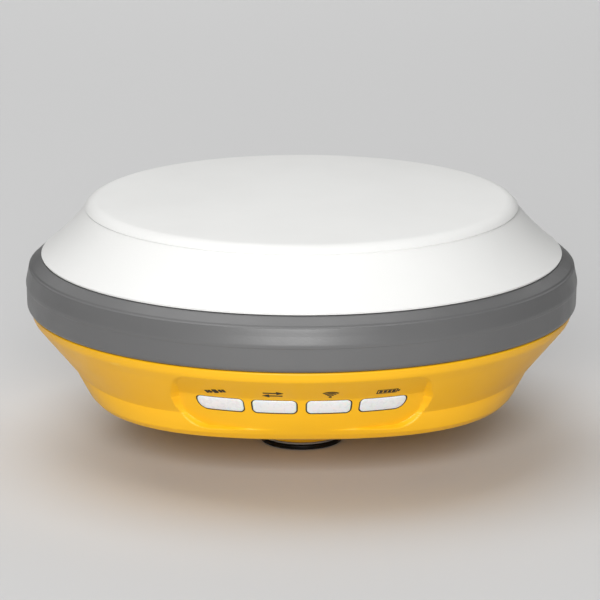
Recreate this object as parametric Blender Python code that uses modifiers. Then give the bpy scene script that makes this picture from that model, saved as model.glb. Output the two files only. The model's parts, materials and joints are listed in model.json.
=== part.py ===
"""Survey GNSS receiver: white radome, grey bumper band, yellow lower housing with a status panel,
a pole mount underneath, a battery behind a hinged door, and the antenna and electronics inside.

Sizes are in millimetres and become metres where a mesh is made.
The origin is the middle of the mount face that stands on the pole, with +Z up.
The status panel faces -Y and the connectors face +Y.
"""
import math

import bmesh
import bpy
from mathutils import Matrix, Vector

MM = 0.001
GAP = 0.3
SEGMENTS = 56
SMALL_SEGMENTS = 24

# Driving heights.
MOUNT_FLANGE_TOP = 1.4
BOSS_BOTTOM = 2.2
BOSS_TOP = 20.6
FLOOR_BOTTOM = 15.2
FLOOR_TOP = 18.0
CREASE_Z = 25.6
LOWER_SEAM_Z = 40.8
UPPER_SEAM_Z = 56.0
APEX_Z = 74.3

# Driving radii and half widths.
CROWN_DROP = 1.8
CROWN_RADIUS = 51.8
BAND_RADIUS = 79.15
SHOULDER_RADIUS = 77.9
CREASE_RADIUS = 66.0
BASE_HALF_WIDTH = 60.2
BOSS_RADIUS = 12.1
BOSS_BORE_RADIUS = 9.3
FLAT_HALF_WIDTH = 53.0
BASE_EXPONENT = 2.5
RADOME_WALL = 2.2

# Pole mount: 5/8 inch thread, drawn at its major diameter.
MOUNT_BORE_RADIUS = 7.95
MOUNT_BORE_DEPTH = 18.0
MOUNT_HUB_RADIUS = 9.0
MOUNT_HUB_TOP = 24.2
MOUNT_FACE_RADIUS = 9.6
MOUNT_FLANGE_RADIUS = 11.9

# Rear fittings stand on the flank, whose outward normal points 40 degrees below the horizon.
FLANK_TILT = 40.0
FITTING_RADIUS = 71.3
FITTING_Z = 31.5
POCKET_DEPTH = 3.2
ANTENNA_AZIMUTH = 90.0
PORT_AZIMUTH = 122.0
BUTTON_AZIMUTH = 58.0

# Status panel, in the front recess.
PANEL_TOP = (75.5, 36.8)
PANEL_CREASE = (68.5, 30.9)
PANEL_LIP = (63.0, 20.6)
PANEL_HALF_WIDTH = 35.2
PANEL_LOW_CORNER = 10.5
PANEL_HIGH_CORNER = 4.0
WINDOW_SPANS = ((1.2, 11.5), (13.7, 25.0))
WINDOW_HEIGHT = 4.6
WINDOW_INSET = 0.5
WINDOW_DEPTH = 8.0
WINDOW_GAP = 0.25
WINDOW_GAP_DEGREES = 0.22

# Battery, its bay and its door, on the rear half of the underside.
DOOR_X = 31.0
DOOR_FRONT = 14.8
DOOR_REAR = 46.2
DOOR_TOP = FLOOR_BOTTOM + 2.4
DOOR_CORNER = 7.0
HINGE_RADIUS = (DOOR_TOP - FLOOR_BOTTOM) / 2
HINGE_Y = DOOR_REAR - HINGE_RADIUS
HINGE_Z = FLOOR_BOTTOM + HINGE_RADIUS
HINGE_PIN_RADIUS = 0.55
BAY_FLANGE_BOTTOM = FLOOR_TOP + GAP
BAY_TOP = 35.3
LATCH_BOTTOM = FLOOR_BOTTOM + 1.1
LATCH_TOP = FLOOR_BOTTOM + 1.95
LATCH_PLAY = 0.15
THUMB_BOTTOM = FLOOR_BOTTOM - 0.25

# Underside screws, vent and speaker.
SCREW_SEAT = FLOOR_BOTTOM + 1.5
SCREW_TIP = 25.0
VENT_SPOT = (-18.0, -32.0)
SPEAKER_SPOT = (18.0, -32.0)
SPEAKER_RING = 4.0
BELOW_FLOOR = 5.0
ABOVE_FLOOR = 23.0

# Internal plates.
CHASSIS_Z = (36.5, 38.0)
BOARD_Z = (41.0, 42.6)
GROUND_PLANE_Z = (50.0, 51.6)
SCREW_SPOTS = ((42.0, 30.0), (47.0, -4.0), (35.0, -37.0))
STANDOFF_SPOTS = ((40.0, 40.0), (40.0, -40.0))
BOARD_SCREW_SPOTS = ((46.0, 0.0),)

# Material name: colour, roughness, metallic.
MATERIALS = {
    "radome_white": ((0.83, 0.83, 0.82), 0.55, 0.0),
    "band_grey": ((0.16, 0.16, 0.165), 0.45, 0.0),
    "housing_yellow": ((0.90, 0.46, 0.02), 0.45, 0.0),
    "window_white": ((0.80, 0.82, 0.84), 0.25, 0.0),
    "black_aluminium": ((0.02, 0.02, 0.022), 0.35, 0.8),
    "washer_nylon": ((0.62, 0.62, 0.60), 0.5, 0.0),
    "steel": ((0.62, 0.62, 0.63), 0.3, 1.0),
    "brass": ((0.72, 0.53, 0.24), 0.3, 1.0),
    "rubber_black": ((0.03, 0.03, 0.03), 0.8, 0.0),
    "aluminium": ((0.70, 0.71, 0.72), 0.35, 1.0),
    "board_green": ((0.02, 0.18, 0.08), 0.5, 0.0),
    "ceramic_tan": ((0.75, 0.66, 0.50), 0.6, 0.0),
    "ceramic_copper": ((0.80, 0.45, 0.25), 0.35, 1.0),
    "tin_shield": ((0.66, 0.66, 0.66), 0.3, 1.0),
    "plastic_black": ((0.03, 0.03, 0.035), 0.5, 0.0),
    "battery_grey": ((0.10, 0.11, 0.12), 0.5, 0.0),
    "insulator_white": ((0.85, 0.85, 0.83), 0.5, 0.0),
    "cable_black": ((0.02, 0.02, 0.02), 0.6, 0.0),
    "card_blue": ((0.10, 0.25, 0.60), 0.4, 0.0),
    "vent_grey": ((0.35, 0.35, 0.35), 0.7, 0.0),
}


# ---------------------------------------------------------------- scene and materials

def clear_scene():
    for obj in list(bpy.data.objects):
        bpy.data.objects.remove(obj, do_unlink=True)


def new_collection(name):
    collection = bpy.data.collections.new(name)
    bpy.context.scene.collection.children.link(collection)
    return collection


def material(name):
    found = bpy.data.materials.get(name)
    if found:
        return found
    colour, roughness, metallic = MATERIALS[name]
    made = bpy.data.materials.new(name)
    made.use_nodes = True
    shader = made.node_tree.nodes["Principled BSDF"]
    shader.inputs["Base Color"].default_value = (*colour, 1.0)
    shader.inputs["Roughness"].default_value = roughness
    shader.inputs["Metallic"].default_value = metallic
    made.diffuse_color = (*colour, 1.0)
    return made


# ---------------------------------------------------------------- outlines

def arc_points(centre, radius, start, end, count):
    """Points on a circle from start to end, in degrees."""
    points = []
    for index in range(count + 1):
        angle = math.radians(start + (end - start) * index / count)
        points.append((centre[0] + radius * math.cos(angle), centre[1] + radius * math.sin(angle)))
    return points


def rounded_outline(corners):
    """A closed outline from (x, y, radius) corners, with each corner turned into an arc."""
    outline = []
    for index, (x, y, radius) in enumerate(corners):
        corner = Vector((x, y))
        if radius == 0:
            outline.append((x, y))
            continue
        before = Vector(corners[index - 1][:2])
        after = Vector(corners[(index + 1) % len(corners)][:2])
        back = (before - corner).normalized()
        ahead = (after - corner).normalized()
        half_angle = back.angle(ahead) / 2
        reach = radius / math.tan(half_angle)
        centre = corner + (back + ahead).normalized() * (radius / math.sin(half_angle))
        start = corner + back * reach - centre
        end = corner + ahead * reach - centre
        turn = start.angle_signed(end)
        steps = max(2, round(math.degrees(abs(turn)) / 22))
        for step in range(steps + 1):
            point = start.copy()
            point.rotate(Matrix.Rotation(-turn * step / steps, 2))
            outline.append(tuple(centre + point))
    return outline


def rectangle(x_low, x_high, y_low, y_high, radius=0.0):
    corners = ((x_low, y_low), (x_high, y_low), (x_high, y_high), (x_low, y_high))
    return rounded_outline([(x, y, radius) for x, y in corners])


def regular_polygon(radius, sides):
    return arc_points((0, 0), radius, 0, 360 - 360 / sides, sides - 1)


# ---------------------------------------------------------------- objects

def finish_mesh(name, shape, material_name, matrix, collection):
    """Turn a bmesh in millimetres into a smooth-shaded object in metres."""
    bmesh.ops.scale(shape, vec=(MM, MM, MM), verts=shape.verts)
    mesh = bpy.data.meshes.new(name)
    shape.to_mesh(mesh)
    shape.free()
    obj = bpy.data.objects.new(name, mesh)
    collection.objects.link(obj)
    place = matrix.copy()
    place.translation = place.translation * MM
    obj.matrix_world = place
    mesh.shade_smooth()
    mesh.set_sharp_from_angle(angle=math.radians(30))
    if material_name:
        mesh.materials.append(material(material_name))
    else:
        obj.hide_render = True
        obj.display_type = "WIRE"
    return obj


def target(material_name):
    return PARTS if material_name else CUTTERS


def block(name, low, high, material_name=None, matrix=Matrix(), bevel=0.0):
    """A box from its low corner to its high corner; without a material it is a cutter."""
    shape = bmesh.new()
    bmesh.ops.create_cube(shape, size=1.0)
    size = [high[axis] - low[axis] for axis in range(3)]
    middle = [(high[axis] + low[axis]) / 2 for axis in range(3)]
    bmesh.ops.scale(shape, vec=size, verts=shape.verts)
    bmesh.ops.translate(shape, vec=middle, verts=shape.verts)
    obj = finish_mesh(name, shape, material_name, matrix, target(material_name))
    if bevel:
        modifier = obj.modifiers.new("edges", "BEVEL")
        modifier.width = bevel * MM
        modifier.segments = 1
    return obj


def rod(name, radius, low, high, material_name=None, matrix=Matrix(), centre=(0, 0), sides=SMALL_SEGMENTS):
    """A cylinder along the local Z axis."""
    shape = bmesh.new()
    depth = high - low
    bmesh.ops.create_cone(shape, cap_ends=True, segments=sides, radius1=radius, radius2=radius, depth=depth)
    bmesh.ops.translate(shape, vec=(centre[0], centre[1], (high + low) / 2), verts=shape.verts)
    return finish_mesh(name, shape, material_name, matrix, target(material_name))


def turned(name, profile, material_name=None, matrix=Matrix(), closed=True, steps=SMALL_SEGMENTS):
    """A (radius, height) profile turned about Z; it runs down its outer side."""
    shape = bmesh.new()
    verts = [shape.verts.new((radius, 0, height)) for radius, height in profile]
    for first, second in zip(verts, verts[1:]):
        shape.edges.new((first, second))
    if closed:
        shape.edges.new((verts[-1], verts[0]))
    obj = finish_mesh(name, shape, material_name, matrix, target(material_name))
    screw = obj.modifiers.new("turn", "SCREW")
    screw.axis = "Z"
    screw.steps = steps
    screw.render_steps = steps
    screw.use_merge_vertices = True
    screw.merge_threshold = 0.00001
    screw.use_smooth_shade = True
    return obj


def ring(name, inner, outer, low, high, material_name=None, matrix=Matrix(), steps=SMALL_SEGMENTS):
    profile = ((outer, high), (outer, low), (inner, low), (inner, high))
    return turned(name, profile, material_name, matrix, steps=steps)


def plate(name, outline, low, high, material_name=None, matrix=Matrix()):
    """A flat outline given thickness along the local Z axis."""
    curve = bpy.data.curves.new(name, "CURVE")
    curve.dimensions = "2D"
    curve.fill_mode = "BOTH"
    curve.extrude = (high - low) / 2 * MM
    spline = curve.splines.new("POLY")
    spline.points.add(len(outline) - 1)
    for point, (x, y) in zip(spline.points, outline):
        point.co = (x * MM, y * MM, 0, 1)
    spline.use_cyclic_u = True
    drawn = bpy.data.objects.new(name + "_curve", curve)
    PARTS.objects.link(drawn)
    evaluated = drawn.evaluated_get(bpy.context.evaluated_depsgraph_get())
    flat = bpy.data.meshes.new_from_object(evaluated)
    shape = bmesh.new()
    shape.from_mesh(flat)
    bpy.data.objects.remove(drawn, do_unlink=True)
    bpy.data.meshes.remove(flat)
    bmesh.ops.remove_doubles(shape, verts=shape.verts, dist=0.000001)
    bmesh.ops.scale(shape, vec=(1 / MM, 1 / MM, 1 / MM), verts=shape.verts)
    bmesh.ops.translate(shape, vec=(0, 0, (low + high) / 2), verts=shape.verts)
    bmesh.ops.recalc_face_normals(shape, faces=shape.faces)
    return finish_mesh(name, shape, material_name, matrix, target(material_name))


def sector(name, profile, start, end, material_name=None, steps=5):
    """A closed (radius, height) outline swept about Z from start to end, in degrees."""
    shape = bmesh.new()
    angle = math.radians(start)
    verts = [shape.verts.new((r * math.cos(angle), r * math.sin(angle), z)) for r, z in profile]
    face = shape.faces.new(verts)
    bmesh.ops.spin(
        shape,
        geom=[face, *face.edges, *face.verts],
        cent=(0, 0, 0),
        axis=(0, 0, 1),
        angle=math.radians(end - start),
        steps=steps,
        use_duplicate=False,
    )
    bmesh.ops.recalc_face_normals(shape, faces=shape.faces)
    return finish_mesh(name, shape, material_name, Matrix(), target(material_name))


def wire(name, route, radius, material_name):
    """A cable through the route's points, as one closed mesh."""
    curve = bpy.data.curves.new(name, "CURVE")
    curve.dimensions = "3D"
    curve.bevel_depth = radius * MM
    curve.bevel_resolution = 2
    curve.use_fill_caps = True
    curve.resolution_u = 3
    spline = curve.splines.new("BEZIER")
    spline.bezier_points.add(len(route) - 1)
    for point, place in zip(spline.bezier_points, route):
        point.co = Vector(place) * MM
        point.handle_left_type = "AUTO"
        point.handle_right_type = "AUTO"
    obj = bpy.data.objects.new(name, curve)
    PARTS.objects.link(obj)
    curve.materials.append(material(material_name))
    return obj


def combine(obj, other, operation):
    modifier = obj.modifiers.new(operation.lower(), "BOOLEAN")
    modifier.operation = operation
    modifier.solver = "EXACT"
    modifier.object = other


def cut(obj, *cutters):
    for cutter in cutters:
        combine(obj, cutter, "DIFFERENCE")


def add(obj, *others):
    for other in others:
        combine(obj, other, "UNION")


def along_x(place=(0, 0, 0)):
    """A frame whose Z axis lies along world +X."""
    return Matrix.Translation(place) @ Matrix.Rotation(math.radians(90), 4, "Y")


def facing_front(place=(0, 0, 0)):
    """A frame whose Z axis points to the front, -Y, with its Y axis up."""
    return Matrix.Translation(place) @ Matrix.Rotation(math.radians(90), 4, "X")


def fitting_frame(azimuth):
    """A frame on the flank: Z points outward, X runs around the housing, Y runs up the slope."""
    turn = math.radians(azimuth)
    tilt = math.radians(FLANK_TILT)
    around = Vector((-math.sin(turn), math.cos(turn), 0))
    outward = Vector((math.cos(turn) * math.cos(tilt), math.sin(turn) * math.cos(tilt), -math.sin(tilt)))
    upward = outward.cross(around)
    frame = Matrix((around, upward, outward)).transposed().to_4x4()
    frame.translation = (FITTING_RADIUS * math.cos(turn), FITTING_RADIUS * math.sin(turn), FITTING_Z)
    return frame


# ---------------------------------------------------------------- outer shells

def crown_height(radius, apex):
    return apex - CROWN_DROP * (radius / CROWN_RADIUS) ** 2


def make_radome():
    """A thin cover: crowned cap, rounded edge, bell-shaped flank and a skirt inside the band."""
    outside = [(radius, crown_height(radius, APEX_Z)) for radius in (0, 20, 38, 50)]
    outside += arc_points((58.0, 67.0), 5.0, 85, 36, 4)
    # The flank's arc, hollow outward, ends at the band.
    outside += arc_points((115.8, 109.7), 67.2, 216.4, 232.4, 6)
    bottom = [(72.4, UPPER_SEAM_Z + 0.2), (72.4, 43.6), (70.2, 43.6), (70.2, 57.6)]
    inside = [(60.6, 67.9), (58.0, 69.4)]
    inside += [(radius, crown_height(radius, APEX_Z - RADOME_WALL)) for radius in (50, 34, 16, 0)]
    turned("radome", outside + bottom + inside, "radome_white", closed=False, steps=SEGMENTS)


def make_band():
    """The bumper band between radome and lower housing."""
    profile = (
        (74.7, UPPER_SEAM_Z - 0.1), (77.6, 53.7), (78.2, 53.2), (78.55, 51.2), (BAND_RADIUS, 48.7),
        (79.0, 45.9), (78.85, 41.6), (78.2, LOWER_SEAM_Z + GAP), (75.5, LOWER_SEAM_Z + GAP),
        (75.5, 48.3), (72.7, 48.3), (72.7, UPPER_SEAM_Z - 0.1),
    )
    turned("bumper_band", profile, "band_grey", steps=SEGMENTS)


def thick_wall(angle):
    """1 behind the status panel and the rear fittings, 0 at the sides."""
    from_front = abs((angle + 90 + 180) % 360 - 180)
    from_rear = abs((angle - 90 + 180) % 360 - 180)
    front = (46 - from_front) / 10
    rear = (56 - from_rear) / 10
    return min(1.0, max(0.0, front, rear))


def housing_rows():
    """Rows of the housing's closed section: half width, height, squareness, corner dip, thickening."""
    plain = (0.0, 0.0)
    outer = [
        (75.2, 47.9, 2.0, 0.0, plain), (75.2, LOWER_SEAM_Z, 2.0, 0.0, plain),
        (77.5, LOWER_SEAM_Z, 2.0, 0.0, plain), (SHOULDER_RADIUS, 40.3, 2.0, 0.0, plain),
        (77.2, 38.7, 2.0, 0.0, plain), (75.9, 36.9, 2.0, 0.0, plain), (71.2, 31.4, 2.0, 0.0, plain),
        (CREASE_RADIUS, CREASE_Z, 2.0, 1.8, plain), (63.8, 22.2, 2.2, 1.2, plain),
        (61.3, 18.5, 2.45, 0.4, plain), (BASE_HALF_WIDTH, 17.6, BASE_EXPONENT, 0.2, plain),
        (58.4, 16.8, BASE_EXPONENT, 0.0, plain), (FLAT_HALF_WIDTH, FLOOR_BOTTOM, BASE_EXPONENT, 0.0, plain),
    ]
    boss = [
        (14.2, FLOOR_BOTTOM, 2.0, 0.0, plain), (13.0, 11.5, 2.0, 0.0, plain),
        (BOSS_RADIUS, 6.5, 2.0, 0.0, plain),
        (11.6, BOSS_BOTTOM, 2.0, 0.0, plain), (BOSS_BORE_RADIUS, BOSS_BOTTOM, 2.0, 0.0, plain),
        (BOSS_BORE_RADIUS, BOSS_TOP, 2.0, 0.0, plain), (BOSS_RADIUS, BOSS_TOP, 2.0, 0.0, plain),
        (BOSS_RADIUS, FLOOR_TOP, 2.0, 0.0, plain),
    ]
    inner = [
        (52.5, FLOOR_TOP, BASE_EXPONENT, 0.0, plain), (56.8, 20.0, BASE_EXPONENT, 0.0, plain),
        (60.6, 24.6, 2.2, 1.0, plain), (64.0, 27.4, 2.0, 1.0, (-3.0, 2.5)),
        (68.9, 33.1, 2.0, 0.0, (-3.0, 2.5)), (69.8, 35.2, 2.0, 0.0, (-0.8, 3.6)),
        (69.8, 41.9, 2.0, 0.0, plain), (72.9, 41.9, 2.0, 0.0, plain), (72.9, 47.9, 2.0, 0.0, plain),
    ]
    return outer + boss + inner


def ring_point(row, angle):
    """The point of one housing row at an angle in degrees: a circle or a squarer, softer square."""
    half_width, height, squareness, dip, thicken = row
    turn = math.radians(angle)
    spread = abs(math.cos(turn)) ** squareness + abs(math.sin(turn)) ** squareness
    radius = half_width / spread ** (1 / squareness)
    corner = math.sin(2 * turn) ** 2
    weight = thick_wall(angle)
    radius += thicken[0] * weight
    height += thicken[1] * weight - dip * corner
    return (radius * math.cos(turn), radius * math.sin(turn), height)


def housing_shell():
    """A loft through the rows, round at the top and squarer at the base."""
    shape = bmesh.new()
    loops = []
    for row in housing_rows():
        loop = [shape.verts.new(ring_point(row, 360 * step / SEGMENTS)) for step in range(SEGMENTS)]
        loops.append(loop)
    for index, upper in enumerate(loops):
        lower = loops[(index + 1) % len(loops)]
        for step in range(SEGMENTS):
            after = (step + 1) % SEGMENTS
            shape.faces.new((upper[step], lower[step], lower[after], upper[after]))
    bmesh.ops.recalc_face_normals(shape, faces=shape.faces)
    return finish_mesh("lower_housing", shape, "housing_yellow", Matrix(), PARTS)


def panel_recess():
    """The front recess: a turned notch, kept only inside a rounded front outline."""
    outer = BAND_RADIUS + 5
    profile = ((outer, PANEL_TOP[1] + 7), (outer, PANEL_LIP[1]), PANEL_LIP, PANEL_CREASE, PANEL_TOP)
    recess = turned("recess_cutter", profile, steps=SEGMENTS)
    low = PANEL_LIP[1] - 0.2
    high = PANEL_TOP[1] + 0.4
    outline = rounded_outline((
        (-PANEL_HALF_WIDTH, low, PANEL_LOW_CORNER), (PANEL_HALF_WIDTH, low, PANEL_LOW_CORNER),
        (PANEL_HALF_WIDTH, high, PANEL_HIGH_CORNER), (-PANEL_HALF_WIDTH, high, PANEL_HIGH_CORNER),
    ))
    limits = plate("recess_limits", outline, 50, 90, matrix=facing_front())
    combine(recess, limits, "INTERSECT")
    return recess


def facet_section(inset, height, depth, grow=0.0, proud=0.0):
    """A slab in (radius, height) under the panel's lower facet, from inset below its upper edge."""
    top = Vector(PANEL_CREASE)
    down = (Vector(PANEL_LIP) - top).normalized()
    inward = Vector((down.y, -down.x))
    start = top + down * (inset - grow)
    end = top + down * (inset + height + grow)
    return [
        tuple(start - inward * proud), tuple(end - inward * proud),
        tuple(end + inward * depth), tuple(start + inward * depth),
    ]


def window_angles():
    """Start and end azimuth of the four windows, left to right."""
    spans = [(-90 - end, -90 - start) for start, end in reversed(WINDOW_SPANS)]
    spans += [(-90 + start, -90 + end) for start, end in WINDOW_SPANS]
    return spans


def make_status_windows(housing):
    for number, (start, end) in enumerate(window_angles(), 1):
        section = facet_section(WINDOW_INSET, WINDOW_HEIGHT, WINDOW_DEPTH)
        sector(f"status_window_{number}", section, start, end, "window_white")
        opening = facet_section(WINDOW_INSET, WINDOW_HEIGHT, 2 * WINDOW_DEPTH, grow=WINDOW_GAP, proud=3.0)
        start -= WINDOW_GAP_DEGREES
        end += WINDOW_GAP_DEGREES
        cut(housing, sector(f"window_cutter_{number}", opening, start, end))
    front = facing_front((0, -49.6, 0))
    board = plate("status_board", rectangle(-27, 27, 19.4, 30.2, 2), 0, 1.2, "board_green", front)
    cut(board, rod("status_board_hole", 1.2, -1, 3, matrix=front, centre=(0, 28.0)))


def mirrored_spots(spots):
    return [(side * x, y) for x, y in spots for side in (-1, 1)]


def make_housing():
    housing = housing_shell()
    cut(housing, panel_recess())
    make_status_windows(housing)
    for azimuth, radius in ((ANTENNA_AZIMUTH, 7.6), (BUTTON_AZIMUTH, 6.4)):
        frame = fitting_frame(azimuth)
        cut(housing, rod(f"pocket_{azimuth:.0f}", radius, -POCKET_DEPTH, 12, matrix=frame, sides=32))
    port_frame = fitting_frame(PORT_AZIMUTH)
    cut(housing, plate("pocket_port", rectangle(-11.3, 11.3, -5.8, 5.8, 0.6), -POCKET_DEPTH, 12,
                       matrix=port_frame))
    cut(housing, rod("antenna_hole", 3.3, -16, 0, matrix=fitting_frame(ANTENNA_AZIMUTH)))
    cut(housing, rod("button_hole", 2.2, -16, 0, matrix=fitting_frame(BUTTON_AZIMUTH)))
    cut(housing, plate("port_hole", rectangle(-4.9, 4.9, -2.1, 2.1, 1.8), -16, 0, matrix=port_frame))
    cut(housing, rod("port_pin_hole", 0.65, -13.4, 13.4, matrix=port_pin_frame()))
    opening = rounded_outline((
        (-DOOR_X - GAP, DOOR_FRONT - GAP, DOOR_CORNER), (DOOR_X + GAP, DOOR_FRONT - GAP, DOOR_CORNER),
        (DOOR_X + GAP, DOOR_REAR + GAP, 0), (-DOOR_X - GAP, DOOR_REAR + GAP, 0),
    ))
    cut(housing, plate("door_opening", opening, BELOW_FLOOR, ABOVE_FLOOR))
    cut(housing, rod("door_pin_hole", 0.7, -DOOR_X - 4, DOOR_X + 4, matrix=along_x((0, HINGE_Y, HINGE_Z))))
    keeper_low = (-4.8, 12.0, LATCH_BOTTOM - LATCH_PLAY)
    cut(housing, block("latch_keeper", keeper_low, (4.8, 16.0, LATCH_TOP + LATCH_PLAY)))
    for number, (x, y) in enumerate(mirrored_spots(SCREW_SPOTS), 1):
        profile = [
            (0, ABOVE_FLOOR), (1.7, ABOVE_FLOOR), (1.7, SCREW_SEAT), (3.1, SCREW_SEAT), (3.1, BELOW_FLOOR),
            (0, BELOW_FLOOR),
        ]
        place = Matrix.Translation((x, y, 0))
        cut(housing, turned(f"screw_hole_{number}", profile, matrix=place, closed=False))
    cut(housing, rod("vent_hole", 4.2, BELOW_FLOOR, ABOVE_FLOOR, centre=VENT_SPOT))
    for index, (x, y) in enumerate(((0, 0), *regular_polygon(SPEAKER_RING, 6)), 1):
        place = (SPEAKER_SPOT[0] + x, SPEAKER_SPOT[1] + y)
        cut(housing, rod(f"speaker_hole_{index}", 0.9, BELOW_FLOOR, ABOVE_FLOOR, centre=place, sides=12))


# ---------------------------------------------------------------- pole mount

def make_mount():
    insert = [
        (0, MOUNT_HUB_TOP), (MOUNT_HUB_RADIUS, MOUNT_HUB_TOP), (MOUNT_HUB_RADIUS, MOUNT_FLANGE_TOP),
        (MOUNT_FLANGE_RADIUS - 0.3, MOUNT_FLANGE_TOP), (MOUNT_FLANGE_RADIUS, 1.1),
        (MOUNT_FACE_RADIUS, 0), (MOUNT_BORE_RADIUS + 0.25, 0), (MOUNT_BORE_RADIUS, 0.4),
        (MOUNT_BORE_RADIUS, MOUNT_BORE_DEPTH), (0, MOUNT_BORE_DEPTH),
    ]
    turned("mount_insert", insert, "black_aluminium", closed=False, steps=32)
    ring("mount_washer", 9.3, 11.3, 1.55, 2.05, "washer_nylon", steps=32)
    nut = plate("mount_nut", regular_polygon(14.0, 6), BOSS_TOP + GAP, MOUNT_HUB_TOP - GAP, "steel")
    cut(nut, rod("mount_nut_bore", BOSS_BORE_RADIUS, BOSS_TOP, MOUNT_HUB_TOP, sides=32))


# ---------------------------------------------------------------- battery, bay and door

def make_battery_bay():
    flange_top = BAY_FLANGE_BOTTOM + 1.4
    outline = rectangle(-33.2, 33.2, 13.5, 47.2, 5)
    bay = plate("battery_bay", outline, BAY_FLANGE_BOTTOM, flange_top, "plastic_black")
    tower = plate("bay_tower", rectangle(-30.8, 30.8, 14.1, 46.3, 6), BAY_FLANGE_BOTTOM + 0.2, BAY_TOP)
    add(bay, tower)
    cut(bay, plate("bay_hollow", rectangle(-29.4, 29.4, 15.5, 44.9, 4.6), BELOW_FLOOR, BAY_TOP - 1.4))
    cut(bay, block("contact_hole", (-7.5, 12.0, 24.6), (7.5, 16.0, 30.4)))
    low = (-28.6, 16.6, DOOR_TOP + 1.0)
    block("battery_pack", low, (28.6, 44.2, BAY_TOP - 2.1), "battery_grey", bevel=2.0)


def make_battery_contacts():
    block("battery_contact_block", (-7.2, 12.4, 24.9), (7.2, 15.2, 30.1), "plastic_black", bevel=0.3)
    for number, x in enumerate((-4.5, 0.0, 4.5), 1):
        low = (x - 0.9, 15.35, 26.0)
        high = (x + 0.9, 16.4, 29.0)
        block(f"battery_contact_{number}", low, high, "brass", bevel=0.2)


def make_battery_door():
    """A plate whose rear edge is rounded about the hinge axis, with a slot for the latch."""
    hinge = Matrix.Translation((0, HINGE_Y, HINGE_Z))
    outline = rounded_outline((
        (-DOOR_X, DOOR_FRONT - HINGE_Y, DOOR_CORNER), (DOOR_X, DOOR_FRONT - HINGE_Y, DOOR_CORNER),
        (DOOR_X, 0, 0), (-DOOR_X, 0, 0),
    ))
    door = plate("battery_door", outline, -HINGE_RADIUS, HINGE_RADIUS, "housing_yellow", hinge)
    axis = along_x((0, HINGE_Y, HINGE_Z))
    add(door, rod("door_knuckle", HINGE_RADIUS, -DOOR_X, DOOR_X, matrix=axis))
    cut(door, rod("door_pin_bore", 0.75, -DOOR_X - 9, DOOR_X + 9, matrix=axis))
    channel_low = (-4.8, 12.0, LATCH_BOTTOM - LATCH_PLAY)
    cut(door, block("latch_channel", channel_low, (4.8, 26.0, LATCH_TOP + LATCH_PLAY)))
    slot_low = (-3.5, 16.4, FLOOR_BOTTOM - 1)
    cut(door, block("latch_thumb_slot", slot_low, (3.5, 25.2, LATCH_BOTTOM + 0.4)))
    reach = DOOR_X + 3.5
    rod("battery_door_pin", HINGE_PIN_RADIUS, -reach, reach, "steel", axis, sides=12)
    outline = rectangle(-30.2, 30.2, 15.4, 37.6, 6.0)
    seal = plate("battery_door_seal", outline, DOOR_TOP + 0.05, DOOR_TOP + 0.5, "rubber_black")
    cut(seal, plate("seal_inside", rectangle(-29.0, 29.0, 16.6, 36.4, 4.8), BELOW_FLOOR, ABOVE_FLOOR))


def make_battery_latch():
    latch = block("battery_latch", (-4.5, 15.1, LATCH_BOTTOM), (4.5, 23.4, LATCH_TOP), "plastic_black")
    add(latch, block("latch_thumb", (-3.2, 18.9, THUMB_BOTTOM), (3.2, 24.0, LATCH_BOTTOM + 0.3)))
    for index in range(3):
        y = 20.0 + 1.2 * index
        low = (-5, y, THUMB_BOTTOM - 1)
        cut(latch, block(f"latch_groove_{index + 1}", low, (5, y + 0.5, THUMB_BOTTOM + 0.35)))


# ---------------------------------------------------------------- rear fittings

def make_antenna_connector():
    frame = fitting_frame(ANTENNA_AZIMUTH)
    floor = -POCKET_DEPTH
    body = [
        (5.5, 4.0), (5.5, floor + 1.6), (6.6, floor + 1.6), (6.6, floor + 0.2), (3.0, floor + 0.2),
        (3.0, -9.6), (2.1, -9.6), (2.1, floor + 1.2), (4.6, floor + 1.2), (4.6, 4.0),
    ]
    turned("antenna_connector", body, "brass", frame)
    core = [(0, 1.5), (2.0, 1.5), (2.0, floor + 1.5), (0, floor + 1.5)]
    insulator = turned("antenna_connector_insulator", core, "insulator_white", frame, closed=False)
    cut(insulator, rod("insulator_bore", 0.6, floor, 5, matrix=frame, sides=12))
    rod("antenna_center_pin", 0.45, floor + 1.8, 2.6, "brass", frame, sides=12)
    nut = plate("antenna_connector_nut", regular_polygon(5.6, 6), -9.2, -7.1, "brass", frame)
    cut(nut, rod("antenna_nut_bore", 3.3, -12, 0, matrix=frame))
    cap = [(0, 5.2), (5.9, 5.2), (6.4, 4.7), (6.4, -1.2), (5.75, -1.2), (5.75, 4.3), (0, 4.3)]
    turned("antenna_cap", cap, "rubber_black", frame, closed=False)


def port_hinge_offset():
    """Height up the slope and height above the flank of the port cover's hinge axis."""
    return -4.5, -0.7


def port_pin_frame():
    up, out = port_hinge_offset()
    frame = fitting_frame(PORT_AZIMUTH) @ Matrix.Translation((0, up, out))
    return frame @ Matrix.Rotation(math.radians(90), 4, "Y")


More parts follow.
